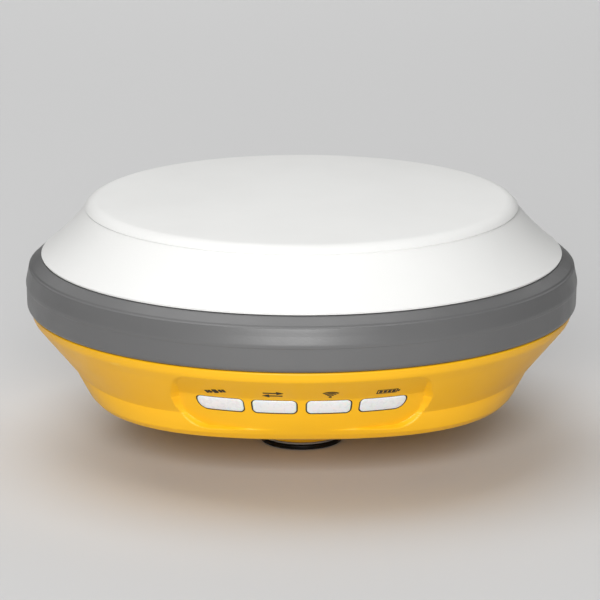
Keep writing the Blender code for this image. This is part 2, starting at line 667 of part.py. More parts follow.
def make_service_port():
    frame = fitting_frame(PORT_AZIMUTH)
    mouth = -POCKET_DEPTH + 0.6
    socket = plate("service_port", rectangle(-4.6, 4.6, -1.75, 1.75, 1.6), -10.2, mouth, "steel", frame)
    hollow = plate("port_hollow", rectangle(-4.2, 4.2, -1.35, 1.35, 1.3), -9.4, 2, matrix=frame)
    cut(socket, hollow)
    up, out = port_hinge_offset()
    cover_frame = frame @ Matrix.Translation((0, up, out))
    outline = rounded_outline(((-10.8, 0, 0), (10.8, 0, 0), (10.8, 9.8, 2.0), (-10.8, 9.8, 2.0)))
    cover = plate("port_cover", outline, -1.0, 1.0, "rubber_black", cover_frame)
    add(cover, rod("port_knuckle", 1.0, -10.8, 10.8, matrix=port_pin_frame()))
    plug = rectangle(-5.6, 5.6, 1.9, 7.2, 1.6)
    add(cover, plate("port_cover_plug", plug, -1.5, -0.8, matrix=cover_frame))
    cut(cover, rod("port_cover_bore", 0.65, -12, 12, matrix=port_pin_frame(), sides=12))
    rod("port_cover_pin", 0.45, -12.9, 12.9, "steel", port_pin_frame(), sides=12)


def make_power_button():
    frame = fitting_frame(BUTTON_AZIMUTH)
    floor = -POCKET_DEPTH
    bezel = [(6.1, 0.1), (6.1, floor + 0.2), (5.3, floor + 0.2), (5.3, 0.1)]
    turned("power_button_bezel", bezel, "plastic_black", frame)
    button = [
        (0, 0.3), (4.4, 0.3), (4.9, -0.2), (4.9, -1.6), (1.8, -1.6), (1.8, -7.1), (0, -7.1),
    ]
    turned("power_button", button, "rubber_black", frame, closed=False)
    seal = [(4.6, floor + 0.7), (4.6, floor + 0.2), (2.3, floor + 0.2), (2.3, floor + 0.7)]
    turned("power_button_seal", seal, "rubber_black", frame)
    block("power_switch", (-2.6, -2.6, -10.8), (2.6, 2.6, -8.2), "plastic_black", frame, bevel=0.3)


# ---------------------------------------------------------------- chassis, boards and antenna

def make_chassis():
    chassis = rod("chassis", 60.0, *CHASSIS_Z, "aluminium", sides=36)
    for number, (x, y) in enumerate(mirrored_spots(SCREW_SPOTS), 1):
        add(chassis, rod(f"chassis_leg_{number}", 3.4, FLOOR_TOP + GAP, 37.2, centre=(x, y), sides=16))
        cut(chassis, rod(f"leg_bore_{number}", 1.7, FLOOR_TOP, SCREW_TIP + 2, centre=(x, y), sides=16))
    for number, (x, y) in enumerate(mirrored_spots(BOARD_SCREW_SPOTS), 1):
        add(chassis, rod(f"board_post_{number}", 3.0, 37.2, BOARD_Z[0] - 0.1, centre=(x, y), sides=16))
        cut(chassis, rod(f"board_post_bore_{number}", 1.4, 35, 50, centre=(x, y), sides=12))
    for number, (x, y) in enumerate(mirrored_spots(STANDOFF_SPOTS), 1):
        cut(chassis, rod(f"standoff_hole_{number}", 1.7, 35, 40, centre=(x, y), sides=12))
    cut(chassis, block("cable_window", (-8, -58, 30), (8, -48, 45)))


def make_screws():
    """The underside screws hold housing and chassis together; the board screws hold the main board."""
    for number, (x, y) in enumerate(mirrored_spots(SCREW_SPOTS), 1):
        place = Matrix.Translation((x, y, 0))
        head = SCREW_SEAT - 0.15
        face = FLOOR_BOTTOM + 0.25
        profile = [
            (0, SCREW_TIP), (1.4, SCREW_TIP), (1.4, head), (2.8, head),
            (2.8, face + 0.35), (2.4, face), (0, face),
        ]
        screw = turned(f"housing_screw_{number}", profile, "steel", place, closed=False, steps=16)
        hexagon = regular_polygon(1.3, 6)
        cut(screw, plate(f"hex_socket_{number}", hexagon, BELOW_FLOOR, face + 0.75, matrix=place))
    for number, (x, y) in enumerate(mirrored_spots(BOARD_SCREW_SPOTS), 1):
        top = BOARD_Z[1] + 0.1
        profile = [
            (0, top + 1.6), (2.0, top + 1.6), (2.3, top + 1.2), (2.3, top),
            (1.1, top), (1.1, 37.4), (0, 37.4),
        ]
        place = Matrix.Translation((x, y, 0))
        turned(f"board_screw_{number}", profile, "steel", place, closed=False, steps=12)


def make_boards():
    board = rod("main_board", 58.0, *BOARD_Z, "board_green", sides=36)
    for number, (x, y) in enumerate(mirrored_spots(BOARD_SCREW_SPOTS), 1):
        cut(board, rod(f"board_hole_{number}", 1.5, 38, 46, centre=(x, y), sides=12))
    for number, (x, y) in enumerate(mirrored_spots(STANDOFF_SPOTS), 1):
        cut(board, rod(f"board_notch_{number}", 7.5, 38, 46, centre=(x * 1.06, y * 1.06), sides=16))
    top = BOARD_Z[1] + 0.1
    block("gnss_module_shield", (-24, -2, top), (22, 28, top + 3.2), "tin_shield", bevel=0.4)
    block("radio_module_shield", (-26, -40, top), (10, -12, top + 2.6), "tin_shield", bevel=0.4)
    holder = block("sim_holder", (-8, 36, top), (8, 50, top + 1.9), "steel", bevel=0.2)
    cut(holder, block("sim_slot", (-6.6, 38, top + 0.5), (6.6, 55, top + 1.4)))
    plate("sim_card", rectangle(-6.2, 6.2, 39, 52.5, 1.0), top + 0.6, top + 1.28, "card_blue")


def make_antenna():
    rod("antenna_ground_plane", 66.0, *GROUND_PLANE_Z, "aluminium", sides=36)
    bottom = GROUND_PLANE_Z[1] + 0.1
    plate("antenna_patch_lower", rectangle(-42, 42, -42, 42, 6), bottom, bottom + 6.0, "ceramic_tan")
    plate("antenna_patch_upper", rectangle(-29, 29, -29, 29, 4), bottom + 6.1, bottom + 12.1, "ceramic_tan")
    radiator = rectangle(-24, 24, -24, 24, 3)
    plate("antenna_radiator", radiator, bottom + 12.2, bottom + 12.6, "ceramic_copper")
    block("lna_shield", (-28, -28, 46.4), (28, 28, GROUND_PLANE_Z[0] - 0.1), "tin_shield", bevel=0.5)
    for number, (x, y) in enumerate(mirrored_spots(STANDOFF_SPOTS), 1):
        place = Matrix.Translation((x, y, 0))
        low = CHASSIS_Z[1] + 0.1
        high = GROUND_PLANE_Z[0] - 0.1
        plate(f"antenna_standoff_{number}", regular_polygon(2.9, 6), low, high, "brass", place)
    route = (
        (28.4, 6, 48.0), (38, 7, 47.6), (47, 12, 46.0), (46, 20, 44.4), (38, 22, 44.0), (22.4, 18, 44.0),
    )
    wire("antenna_cable", route, 0.9, "cable_black")


def make_small_parts():
    ring("main_seal", 70.4, 72.2, 42.2, 43.3, "rubber_black", steps=36)
    rod("speaker", 9.5, FLOOR_TOP + GAP, FLOOR_TOP + 4.8, "plastic_black", centre=SPEAKER_SPOT)
    shoulder = FLOOR_TOP + 0.1
    face = FLOOR_BOTTOM + 0.3
    top = shoulder + 1.7
    vent = [(0, top), (6.2, top), (6.2, shoulder), (3.9, shoulder), (3.9, face), (0, face)]
    turned("vent_plug", vent, "vent_grey", Matrix.Translation((*VENT_SPOT, 0)), closed=False)


clear_scene()
PARTS = new_collection("gnss_receiver")
CUTTERS = new_collection("cutters")
make_radome()
make_band()
make_housing()
make_mount()
make_battery_bay()
make_battery_contacts()
make_battery_door()
make_battery_latch()
make_antenna_connector()
make_service_port()
make_power_button()
make_chassis()
make_screws()
make_boards()
make_antenna()
make_small_parts()
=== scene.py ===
"""Looks of the survey GNSS receiver: fine shells, status panel, pole thread, rear fittings and materials.

Lengths are in millimetres, in the frame's own axes, and become metres where a mesh is made.
"""
import json
import math

import bmesh
import bpy
import numpy as np
from mathutils import Matrix, Vector


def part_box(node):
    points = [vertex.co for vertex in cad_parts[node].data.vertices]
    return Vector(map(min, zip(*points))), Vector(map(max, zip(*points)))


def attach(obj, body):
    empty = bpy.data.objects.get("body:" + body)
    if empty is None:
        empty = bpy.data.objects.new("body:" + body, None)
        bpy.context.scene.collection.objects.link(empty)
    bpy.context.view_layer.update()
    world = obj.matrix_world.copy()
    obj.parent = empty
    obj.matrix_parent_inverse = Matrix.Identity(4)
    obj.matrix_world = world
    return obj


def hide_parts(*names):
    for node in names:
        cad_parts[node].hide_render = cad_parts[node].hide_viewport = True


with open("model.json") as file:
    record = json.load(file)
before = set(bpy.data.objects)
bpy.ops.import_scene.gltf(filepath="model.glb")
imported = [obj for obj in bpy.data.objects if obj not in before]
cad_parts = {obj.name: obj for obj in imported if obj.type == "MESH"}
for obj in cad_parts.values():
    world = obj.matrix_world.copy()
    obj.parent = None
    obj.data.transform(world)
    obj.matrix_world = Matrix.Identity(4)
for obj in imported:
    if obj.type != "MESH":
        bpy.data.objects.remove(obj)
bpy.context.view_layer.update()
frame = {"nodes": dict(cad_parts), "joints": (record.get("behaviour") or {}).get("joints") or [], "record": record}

MM = 0.001
NODES = frame["nodes"]


def box_mm(node):
    """Lowest and highest corner of a CAD node, in millimetres."""
    low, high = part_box(node)
    return [value / MM for value in low], [value / MM for value in high]


# ---- places, from the frame

RADOME_LOW, RADOME_HIGH = box_mm("radome")
BAND_LOW, BAND_HIGH = box_mm("bumper_band")
DOOR_LOW, DOOR_HIGH = box_mm("battery_door")
INSERT_LOW, INSERT_HIGH = box_mm("mount_insert")
JOINTS = {joint["name"]: joint for joint in frame["joints"]}

APEX_Z = RADOME_HIGH[2]
UPPER_SEAM_Z = BAND_HIGH[2]
LOWER_SEAM_Z = BAND_LOW[2] - 0.3
BAND_RADIUS = BAND_HIGH[0]
FLOOR_Z = DOOR_LOW[2]
MOUNT_TOP_Z = INSERT_HIGH[2]

CROWN_DROP = 1.8
CROWN_RADIUS = 51.8
RADOME_WALL = 2.2

# Status panel: (radius, height) of its upper edge, of the crease between its facets and of its lip.
PANEL_TOP = (75.5, 36.8)
PANEL_CREASE = (68.5, 30.9)
PANEL_LIP = (63.0, 20.6)
PANEL_HALF_WIDTH = 35.2
PANEL_TOP_CORNER = 4.0
PANEL_BOTTOM_CORNER = 10.5
RECESS_ABOVE_PANEL = 1.2
RECESS_BELOW_LIP = 0.2
RECESS_RAMP = 2.4
RECESS_RAMP_START = 0.4
RECESS_SOFTNESS = 0.4
WINDOW_SPANS = ((1.2, 11.5), (13.7, 25.0))
WINDOW_HEIGHT = 4.6
WINDOW_GAP = 0.36

# Rear fittings on the flank.
FLANK_TILT = 40.0
FITTING_RADIUS = 71.3
FITTING_Z = 31.5
POCKET_DEPTH = 3.2
ANTENNA_AZIMUTH = 90.0
PORT_AZIMUTH = 122.0
BUTTON_AZIMUTH = 58.0


# ---- mesh helpers

def new_object(name, verts, faces, look, matrix=None, sharp=35.0, body="receiver", replaces=()):
    """A smooth-shaded piece from points in millimetres, riding on a body."""
    if matrix:
        verts = [tuple(matrix @ Vector(point)) for point in verts]
    mesh = bpy.data.meshes.new(name)
    mesh.from_pydata([tuple(value * MM for value in point) for point in verts], [], faces)
    mesh.validate()
    tidy_normals(mesh)
    obj = bpy.data.objects.new(name, mesh)
    bpy.context.scene.collection.objects.link(obj)
    return dress(obj, look, sharp, body, replaces)


def tidy_normals(mesh):
    shape = bmesh.new()
    shape.from_mesh(mesh)
    bmesh.ops.remove_doubles(shape, verts=shape.verts, dist=0.0000005)
    bmesh.ops.recalc_face_normals(shape, faces=shape.faces)
    shape.to_mesh(mesh)
    shape.free()


def dress(obj, look, sharp, body, replaces):
    """Gives a piece its look, its body and the CAD nodes that it replaces, with the look as its slot."""
    obj.data.materials.clear()
    obj.data.materials.append(LOOKS[look])
    obj.data.shade_smooth()
    obj.data.set_sharp_from_angle(angle=math.radians(sharp))
    if body:
        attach(obj, body)
    if replaces:
        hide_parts(*replaces)
    return obj


def grid_faces(rows, columns, close_rows=False, close_columns=True, offset=0):
    """Quads between rows of points, each row a ring of the same length."""
    faces = []
    last_row = rows if close_rows else rows - 1
    last_column = columns if close_columns else columns - 1
    for row in range(last_row):
        next_row = (row + 1) % rows
        for column in range(last_column):
            after = (column + 1) % columns
            faces.append(
                (offset + row * columns + column, offset + next_row * columns + column,
                offset + next_row * columns + after, offset + row * columns + after)
            )
    return faces


def polar(radius, angle):
    return radius * math.cos(angle), radius * math.sin(angle)


def rounded_path(corners, closed=False):
    """A path through (x, y, radius) corners, each turned into an arc of about 8 degree steps."""
    path = []
    count = len(corners)
    for index, (x, y, radius) in enumerate(corners):
        at_end = not closed and index in (0, count - 1)
        if radius == 0 or at_end:
            path.append((x, y))
            continue
        corner = Vector((x, y))
        back = (Vector(corners[index - 1][:2]) - corner).normalized()
        ahead = (Vector(corners[(index + 1) % count][:2]) - corner).normalized()
        half_angle = back.angle(ahead) / 2
        reach = radius / math.tan(half_angle)
        centre = corner + (back + ahead).normalized() * (radius / math.sin(half_angle))
        start = corner + back * reach - centre
        turn = start.angle_signed(corner + ahead * reach - centre)
        steps = max(3, round(math.degrees(abs(turn)) / 8))
        for step in range(steps + 1):
            point = start.copy()
            point.rotate(Matrix.Rotation(-turn * step / steps, 2))
            path.append(tuple(centre + point))
    return path


def fill_path(path, spacing):
    """The same path with extra points, so that no step is longer than spacing."""
    filled = [path[0]]
    for first, second in zip(path, path[1:]):
        length = math.dist(first, second)
        pieces = max(1, math.ceil(length / spacing))
        for piece in range(1, pieces + 1):
            share = piece / pieces
            filled.append(tuple(a + (b - a) * share for a, b in zip(first, second)))
    return filled


def arc(centre, radius, start, end, count):
    angles = [math.radians(start + (end - start) * index / count) for index in range(count + 1)]
    return [(centre[0] + radius * math.cos(a), centre[1] + radius * math.sin(a)) for a in angles]


def turned(name, profile, look, matrix=None, closed=True, columns=96, **options):
    """A (radius, height) profile turned about the local Z axis."""
    verts = []
    for radius, height in profile:
        for column in range(columns):
            angle = 2 * math.pi * column / columns
            verts.append((*polar(radius, angle), height))
    faces = grid_faces(len(profile), columns, close_rows=closed)
    return new_object(name, verts, faces, look, matrix, **options)


def rectangle(x_low, x_high, y_low, y_high, radius):
    corners = ((x_low, y_low), (x_high, y_low), (x_high, y_high), (x_low, y_high))
    if radius == 0:
        return list(corners)
    return rounded_path([(x, y, radius) for x, y in corners], closed=True)


def shrink(outline, distance):
    """The outline moved inward by a distance, point by point."""
    points = [Vector(point) for point in outline]
    count = len(points)
    area = sum(points[i - 1].x * points[i].y - points[i].x * points[i - 1].y for i in range(count))
    side = 1 if area > 0 else -1
    moved = []
    for index, point in enumerate(points):
        ahead = (points[(index + 1) % count] - points[index - 1]).normalized()
        moved.append(point + Vector((-ahead.y, ahead.x)) * distance * side)
    return [tuple(point) for point in moved]


def soft_plate(outline, low, high, edge=0.4, low_edge=0.0, steps=3):
    """Points and faces of a plate with rounded upper edges, and lower ones if low_edge is set."""
    rings = []
    if low_edge:
        for step in range(steps + 1):
            angle = math.radians(90 * step / steps)
            rings.append((low_edge * (1 - math.sin(angle)), low + low_edge * (1 - math.cos(angle))))
    else:
        rings.append((0.0, low))
    for step in range(steps + 1):
        angle = math.radians(90 * step / steps)
        rings.append((edge * (1 - math.cos(angle)), high - edge * (1 - math.sin(angle))))
    verts = []
    for inset, height in rings:
        verts += [(x, y, height) for x, y in shrink(outline, inset)]
    count = len(outline)
    faces = grid_faces(len(rings), count)
    faces.append(tuple(range(count)))
    faces.append(tuple(range((len(rings) - 1) * count, len(rings) * count)))
    return verts, faces


def plate(name, outline, low, high, look, matrix=None, edge=0.4, low_edge=0.0, **options):
    verts, faces = soft_plate(outline, low, high, edge, low_edge)
    return new_object(name, verts, faces, look, matrix, **options)


def merge(target, *others):
    """Adds the other objects' meshes to the target and removes them."""
    shape = bmesh.new()
    shape.from_mesh(target.data)
    for other in others:
        shape.from_mesh(other.data)
        bpy.data.objects.remove(other, do_unlink=True)
    shape.to_mesh(target.data)
    shape.free()
    target.data.shade_smooth()
    target.data.set_sharp_from_angle(angle=math.radians(35))
    return target


def boolean(target, cutter, operation="DIFFERENCE", sharp=35.0):
    """Cuts or joins target with cutter, keeps the result as a plain mesh and removes the cutter."""
    modifier = target.modifiers.new("boolean", "BOOLEAN")
    modifier.operation = operation
    modifier.solver = "EXACT"
    modifier.object = cutter
    evaluated = target.evaluated_get(bpy.context.evaluated_depsgraph_get())
    result = bpy.data.meshes.new_from_object(evaluated)
    target.modifiers.remove(modifier)
    target.data = result
    bpy.data.objects.remove(cutter, do_unlink=True)
    result.shade_smooth()
    result.set_sharp_from_angle(angle=math.radians(sharp))
    return target


def fitting_frame(azimuth):
    """A frame on the flank: Z points outward, X runs around the housing, Y runs up the slope."""
    turn = math.radians(azimuth)
    tilt = math.radians(FLANK_TILT)
    around = Vector((-math.sin(turn), math.cos(turn), 0))
    outward = Vector((math.cos(turn) * math.cos(tilt), math.sin(turn) * math.cos(tilt), -math.sin(tilt)))
    upward = outward.cross(around)
    made = Matrix((around, upward, outward)).transposed().to_4x4()
    made.translation = (*polar(FITTING_RADIUS, turn), FITTING_Z)
    return made


def shifted(matrix, x=0.0, y=0.0, z=0.0):
    return matrix @ Matrix.Translation((x, y, z))


def along_x(place=(0, 0, 0)):
    return Matrix.Translation(place) @ Matrix.Rotation(math.radians(90), 4, "Y")


# ---- materials

class Nodes:
    """A small wrapper for building a Principled material."""

    def __init__(self, name, **values):
        self.material = bpy.data.materials.new(name)
        self.material.use_nodes = True
        self.tree = self.material.node_tree
        self.shader = self.tree.nodes["Principled BSDF"]
        for key, value in values.items():
            self.set(key, value)
        self.coordinates = self.add("ShaderNodeTexCoord").outputs["Object"]

    def set(self, key, value):
        socket = self.shader.inputs[key.replace("_", " ").title().replace("Ior", "IOR")]
        if isinstance(value, tuple) and len(value) == 3 and socket.type == "RGBA":
            value = (*value, 1.0)
        socket.default_value = value

    def add(self, kind, **values):
        node = self.tree.nodes.new(kind)
        for key, value in values.items():
            setattr(node, key, value)
        return node

    def link(self, output, node, socket):
        self.tree.links.new(output, node.inputs[socket])

    def noise(self, scale, detail=3.0, roughness=0.55, stretch=None):
        node = self.add("ShaderNodeTexNoise")
        node.inputs["Scale"].default_value = scale
        node.inputs["Detail"].default_value = detail
        node.inputs["Roughness"].default_value = roughness
        source = self.coordinates
        if stretch:
            mapping = self.add("ShaderNodeMapping")
            mapping.inputs["Scale"].default_value = stretch
            self.link(source, mapping, "Vector")
            source = mapping.outputs["Vector"]
        self.link(source, node, "Vector")
        return node.outputs["Fac"]

    def cells(self, scale):
        node = self.add("ShaderNodeTexVoronoi")
        node.inputs["Scale"].default_value = scale
        self.link(self.coordinates, node, "Vector")
        return node.outputs["Distance"]

    def math(self, operation, first, second):
        node = self.add("ShaderNodeMath", operation=operation)
        for index, value in enumerate((first, second)):
            if isinstance(value, (int, float)):
                node.inputs[index].default_value = value
            else:
                self.tree.links.new(value, node.inputs[index])
        return node.outputs["Value"]

    def ramp(self, factor, low, high, from_low=0.3, from_high=0.7):
        node = self.add("ShaderNodeMapRange")
        node.inputs["From Min"].default_value = from_low
        node.inputs["From Max"].default_value = from_high
        node.inputs["To Min"].default_value = low
        node.inputs["To Max"].default_value = high
        self.link(factor, node, "Value")
        return node.outputs["Result"]

    def mix(self, factor):
        node = self.add("ShaderNodeMix", data_type="RGBA")
        self.tree.links.new(factor, node.inputs[0])
        return node

    def colours(self, factor, first, second):
        node = self.mix(factor)
        node.inputs[6].default_value = (*first, 1.0)
        node.inputs[7].default_value = (*second, 1.0)
        return node.outputs[2]

    def blend(self, factor, first, second):
        node = self.mix(factor)
        self.tree.links.new(first, node.inputs[6])
        self.tree.links.new(second, node.inputs[7])
        return node.outputs[2]

    def bump(self, height, strength, distance):
        node = self.add("ShaderNodeBump")
        node.inputs["Strength"].default_value = strength
        node.inputs["Distance"].default_value = distance
        self.link(height, node, "Height")
        self.link(node.outputs["Normal"], self.shader, "Normal")
        return node


def edge_wear(nodes, low=0.52, high=0.60):
    """1 on worn convex edges, broken up by noise; 0 elsewhere."""
    geometry = nodes.add("ShaderNodeNewGeometry")
    edge = nodes.ramp(geometry.outputs["Pointiness"], 0.0, 1.0, low, high)
    patches = nodes.ramp(nodes.noise(260.0, 4.0), 0.0, 1.0, 0.45, 0.62)
    return nodes.math("MULTIPLY", edge, patches)


def moulded(name, colour, darker, roughness, grain=1500.0, grain_depth=0.00003, wear=None, **values):
    """Moulded plastic: fine grain, soft colour drift, small marks in the gloss, and worn edges."""
    nodes = Nodes(name, **values)
    drift = nodes.ramp(nodes.noise(22.0, 3.0), 0.0, 1.0, 0.3, 0.7)
    tint = nodes.colours(drift, colour, darker)
    if wear:
        worn = nodes.add("ShaderNodeRGB")
        worn.outputs[0].default_value = (*wear, 1.0)
        amount = nodes.math("MULTIPLY", edge_wear(nodes), 0.35)
        tint = nodes.blend(amount, tint, worn.outputs[0])
    nodes.link(tint, nodes.shader, "Base Color")
    smudges = nodes.ramp(nodes.noise(75.0, 5.0, 0.65), roughness - 0.05, roughness + 0.07, 0.3, 0.7)
    nodes.link(smudges, nodes.shader, "Roughness")
    fine = nodes.noise(grain, 2.0, 0.5)
    pits = nodes.math("MULTIPLY", nodes.cells(grain * 0.8), 0.6)
    nodes.bump(nodes.math("ADD", fine, pits), 0.35, grain_depth)
    return nodes.material


def metal(name, colour, darker, roughness, stretch=(1.0, 1.0, 1.0), scale=900.0, depth=0.00002):
    """Metal with fine tool marks and an uneven tarnish."""
    nodes = Nodes(name, metallic=1.0)
    tarnish = nodes.ramp(nodes.noise(120.0, 4.0), 0.0, 1.0, 0.35, 0.65)
    nodes.link(nodes.colours(tarnish, colour, darker), nodes.shader, "Base Color")
    marks = nodes.noise(scale, 3.0, 0.6, stretch)
    nodes.link(nodes.ramp(marks, roughness - 0.07, roughness + 0.1, 0.3, 0.7), nodes.shader, "Roughness")
    nodes.bump(marks, 0.3, depth)
    return nodes.material


def printed_board(name):
    """Solder mask with darker copper tracks under it."""
    nodes = Nodes(name)
    tracks = nodes.add("ShaderNodeTexBrick")
    tracks.inputs["Scale"].default_value = 180.0
    tracks.inputs["Mortar Size"].default_value = 0.03
    nodes.link(nodes.coordinates, tracks, "Vector")
    drift = nodes.colours(nodes.noise(60.0), (0.012, 0.13, 0.05), (0.02, 0.19, 0.08))
    track = nodes.colours(nodes.noise(300.0), (0.05, 0.30, 0.12), (0.03, 0.24, 0.10))
    nodes.link(nodes.blend(tracks.outputs["Fac"], drift, track), nodes.shader, "Base Color")
    nodes.link(nodes.ramp(nodes.noise(400.0), 0.3, 0.45), nodes.shader, "Roughness")
    nodes.bump(tracks.outputs["Fac"], 0.4, 0.00003)
    return nodes.material


def light_window(name):
    """Frosted light guide: pale, slightly see-through plastic with a faint inner haze."""
    nodes = Nodes(name, subsurface_weight=0.35, subsurface_scale=0.002, coat_weight=0.25, coat_roughness=0.15)
    haze = nodes.ramp(nodes.noise(160.0, 3.0), 0.0, 1.0, 0.3, 0.7)
    nodes.link(nodes.colours(haze, (0.80, 0.80, 0.81), (0.775, 0.775, 0.79)), nodes.shader, "Base Color")
    nodes.link(nodes.ramp(nodes.noise(700.0), 0.24, 0.34), nodes.shader, "Roughness")
    nodes.bump(nodes.noise(2600.0, 2.0), 0.2, 0.00002)
    return nodes.material


def speckled(name, colour, darker, roughness, scale=500.0):
    """Ceramic or filled plastic with fine specks."""
    nodes = Nodes(name)
    specks = nodes.ramp(nodes.cells(scale), 0.0, 1.0, 0.1, 0.6)
    nodes.link(nodes.colours(specks, darker, colour), nodes.shader, "Base Color")
    nodes.link(nodes.ramp(nodes.noise(scale), roughness - 0.05, roughness + 0.08), nodes.shader, "Roughness")
    nodes.bump(nodes.noise(scale * 3), 0.3, 0.00002)
    return nodes.material


LOOKS = {
    "radome_white": moulded("radome_white", (0.80, 0.80, 0.785), (0.765, 0.765, 0.75), 0.52, grain=1300.0,
                            grain_depth=0.00004),
    "band_grey": moulded("band_grey", (0.138, 0.138, 0.138), (0.122, 0.122, 0.123), 0.38, grain=1700.0,
                         wear=(0.26, 0.26, 0.26)),
    "housing_yellow": moulded("housing_yellow", (0.93, 0.50, 0.012), (0.90, 0.465, 0.010), 0.40, grain=1500.0,
                              wear=(0.95, 0.60, 0.10), specular_ior_level=0.35),
    "window_white": light_window("window_white"),
    "black_aluminium": metal("black_aluminium", (0.020, 0.020, 0.022), (0.035, 0.035, 0.036), 0.34),
    # Washer grey: partly the washer's own colour, partly a painted highlight, the thin light line between the
    # yellow boss and the black flange.
    "washer_nylon": moulded("washer_nylon", (0.34, 0.33, 0.31), (0.28, 0.27, 0.26), 0.5),
    "steel": metal("steel", (0.60, 0.60, 0.61), (0.48, 0.48, 0.49), 0.28, (1.0, 1.0, 6.0)),
    "brass": metal("brass", (0.75, 0.55, 0.24), (0.58, 0.40, 0.16), 0.28, (1.0, 1.0, 5.0)),
    "rubber_black": moulded("rubber_black", (0.030, 0.030, 0.031), (0.045, 0.045, 0.045), 0.70, grain=1100.0),
    "aluminium": metal("aluminium", (0.70, 0.71, 0.72), (0.60, 0.61, 0.62), 0.34, (8.0, 1.0, 1.0)),
    "board_green": printed_board("board_green"),
    "ceramic_tan": speckled("ceramic_tan", (0.72, 0.62, 0.45), (0.60, 0.50, 0.34), 0.55),
    "ceramic_copper": metal("ceramic_copper", (0.80, 0.45, 0.24), (0.66, 0.34, 0.17), 0.3),
    "tin_shield": metal("tin_shield", (0.64, 0.64, 0.64), (0.54, 0.54, 0.55), 0.32, (6.0, 1.0, 1.0)),
    "plastic_black": moulded("plastic_black", (0.022, 0.022, 0.024), (0.034, 0.034, 0.036), 0.48),
    "battery_grey": moulded("battery_grey", (0.07, 0.08, 0.09), (0.09, 0.10, 0.11), 0.45),
    "insulator_white": moulded("insulator_white", (0.82, 0.82, 0.80), (0.76, 0.76, 0.74), 0.45),
    "cable_black": moulded("cable_black", (0.020, 0.020, 0.021), (0.030, 0.030, 0.031), 0.55),
    "card_blue": moulded("card_blue", (0.09, 0.22, 0.55), (0.07, 0.18, 0.48), 0.4),
    "vent_grey": moulded("vent_grey", (0.28, 0.28, 0.28), (0.22, 0.22, 0.22), 0.6),
    "icon_black": moulded("icon_black", (0.006, 0.005, 0.004), (0.012, 0.010, 0.008), 0.6),
    # Near-black of the window seals: painted shade, standing for the shadow in the gap round each window.
    "gap_black": moulded("gap_black", (0.018, 0.014, 0.010), (0.028, 0.022, 0.016), 0.65),
    "icon_white": moulded("icon_white", (0.75, 0.75, 0.74), (0.70, 0.70, 0.69), 0.5),
}


def paint_frame_nodes():
    """Every CAD node gets the detailed material of its slot."""
    for entry in frame["record"]["subparts"]:
        node = NODES[entry["node"]]
        node.data.materials.clear()
        node.data.materials.append(LOOKS[entry["material_slot"]])


# ---- radome and band

def crown_height(radius, apex):
    return apex - CROWN_DROP * (radius / CROWN_RADIUS) ** 2


def make_radome():
    """A thin moulded cover with a soft cap edge, a bell flank and a skirt down inside the band."""
    outside = [(radius, crown_height(radius, APEX_Z)) for radius in np.linspace(0.02, 56.5, 40)]
    outside += arc((57.9, 67.0), 5.05, 84, 36, 14)
    outside += arc((115.8, 109.7), 67.2, 216.6, 232.2, 30)
    rim = rounded_path(
        [(74.3, UPPER_SEAM_Z + 0.7, 0), (74.55, UPPER_SEAM_Z + 0.18, 0.18),
        (72.4, UPPER_SEAM_Z + 0.18, 0.2), (72.4, RADOME_LOW[2], 0.4), (70.2, RADOME_LOW[2], 0.4),
        (70.2, 57.6, 2.0), (60.6, 67.9, 2.0), (56.0, 69.9, 0)]
    )
    inside = [(radius, crown_height(radius, APEX_Z - RADOME_WALL)) for radius in np.linspace(52.0, 0.02, 16)]
    profile = outside + rim + inside
    turned("radome_cover", profile, "radome_white", closed=False, columns=240, replaces=("radome",))


def make_band():
    """The bumper band: a sloping shoulder, a small step, a barrelled wall and a tucked lower edge."""
    top = UPPER_SEAM_Z - 0.02
    low = BAND_LOW[2]
    profile = rounded_path(
        [(72.8, top, 0), (74.62, top, 0.25), (77.45, 53.95, 0.7), (77.75, 53.55, 0.25),
        (78.22, 53.25, 0.35), (78.6, 51.2, 2.0), (BAND_RADIUS - 0.02, 48.8, 2.5),
        (BAND_RADIUS - 0.05, 48.0, 0.25), (78.98, 47.75, 0.2), (78.95, 45.5, 3.0), (78.85, 41.7, 1.6),
        (78.0, low + 0.05, 0.35), (75.6, low + 0.05, 0.2), (75.6, 48.3, 0.2), (72.8, 48.3, 0.2)],
        closed=True
    )
    turned("bumper", fill_path(profile, 1.2), "band_grey", columns=240, replaces=("bumper_band",))


# ---- lower housing

# Outer corners: half width, height, rounding, squareness, dip at the corners.
HOUSING_CORNERS = (
    (75.3, LOWER_SEAM_Z, 0.0, 2.0, 0.0), (77.85, LOWER_SEAM_Z, 0.45, 2.0, 0.0), (77.2, 38.4, 4.0, 2.0, 0.0),
    (74.9, 35.6, 6.0, 2.0, 0.0), (66.1, 25.6, 5.5, 2.0, 1.8), (61.5, 19.1, 6.0, 2.45, 0.4),
    (59.8, 17.3, 1.6, 2.5, 0.1), (53.0, FLOOR_Z, 5.0, 2.5, 0.0)
)
INNER_CORNERS = (
    (52.4, FLOOR_Z + 2.8, 2.5), (56.8, 20.0, 2.5), (60.6, 24.6, 2.2), (66.0, 32.0, 2.0), (69.8, 37.4, 2.0),
    (69.8, 41.9, 2.0), (72.9, 41.9, 2.0), (72.9, 47.9, 2.0), (75.2, 47.9, 2.0)
)


def squareness_radius(half_width, squareness, turn):
    spread = abs(math.cos(turn)) ** squareness + abs(math.sin(turn)) ** squareness
    return half_width / spread ** (1 / squareness)


def housing_profile():
    """Fine outer rows from the seam to the flat underside: half width, height, squareness, dip."""
    path = fill_path(rounded_path([corner[:3] for corner in HOUSING_CORNERS]), 0.3)
    corner_heights = [corner[1] for corner in HOUSING_CORNERS[1:]][::-1]
    squareness = [corner[3] for corner in HOUSING_CORNERS[1:]][::-1]
    dips = [corner[4] for corner in HOUSING_CORNERS[1:]][::-1]
    rows = []
    for half_width, height in path:
        rows.append((half_width, height, float(np.interp(height, corner_heights, squareness)),
                     float(np.interp(height, corner_heights, dips))))
    return rows


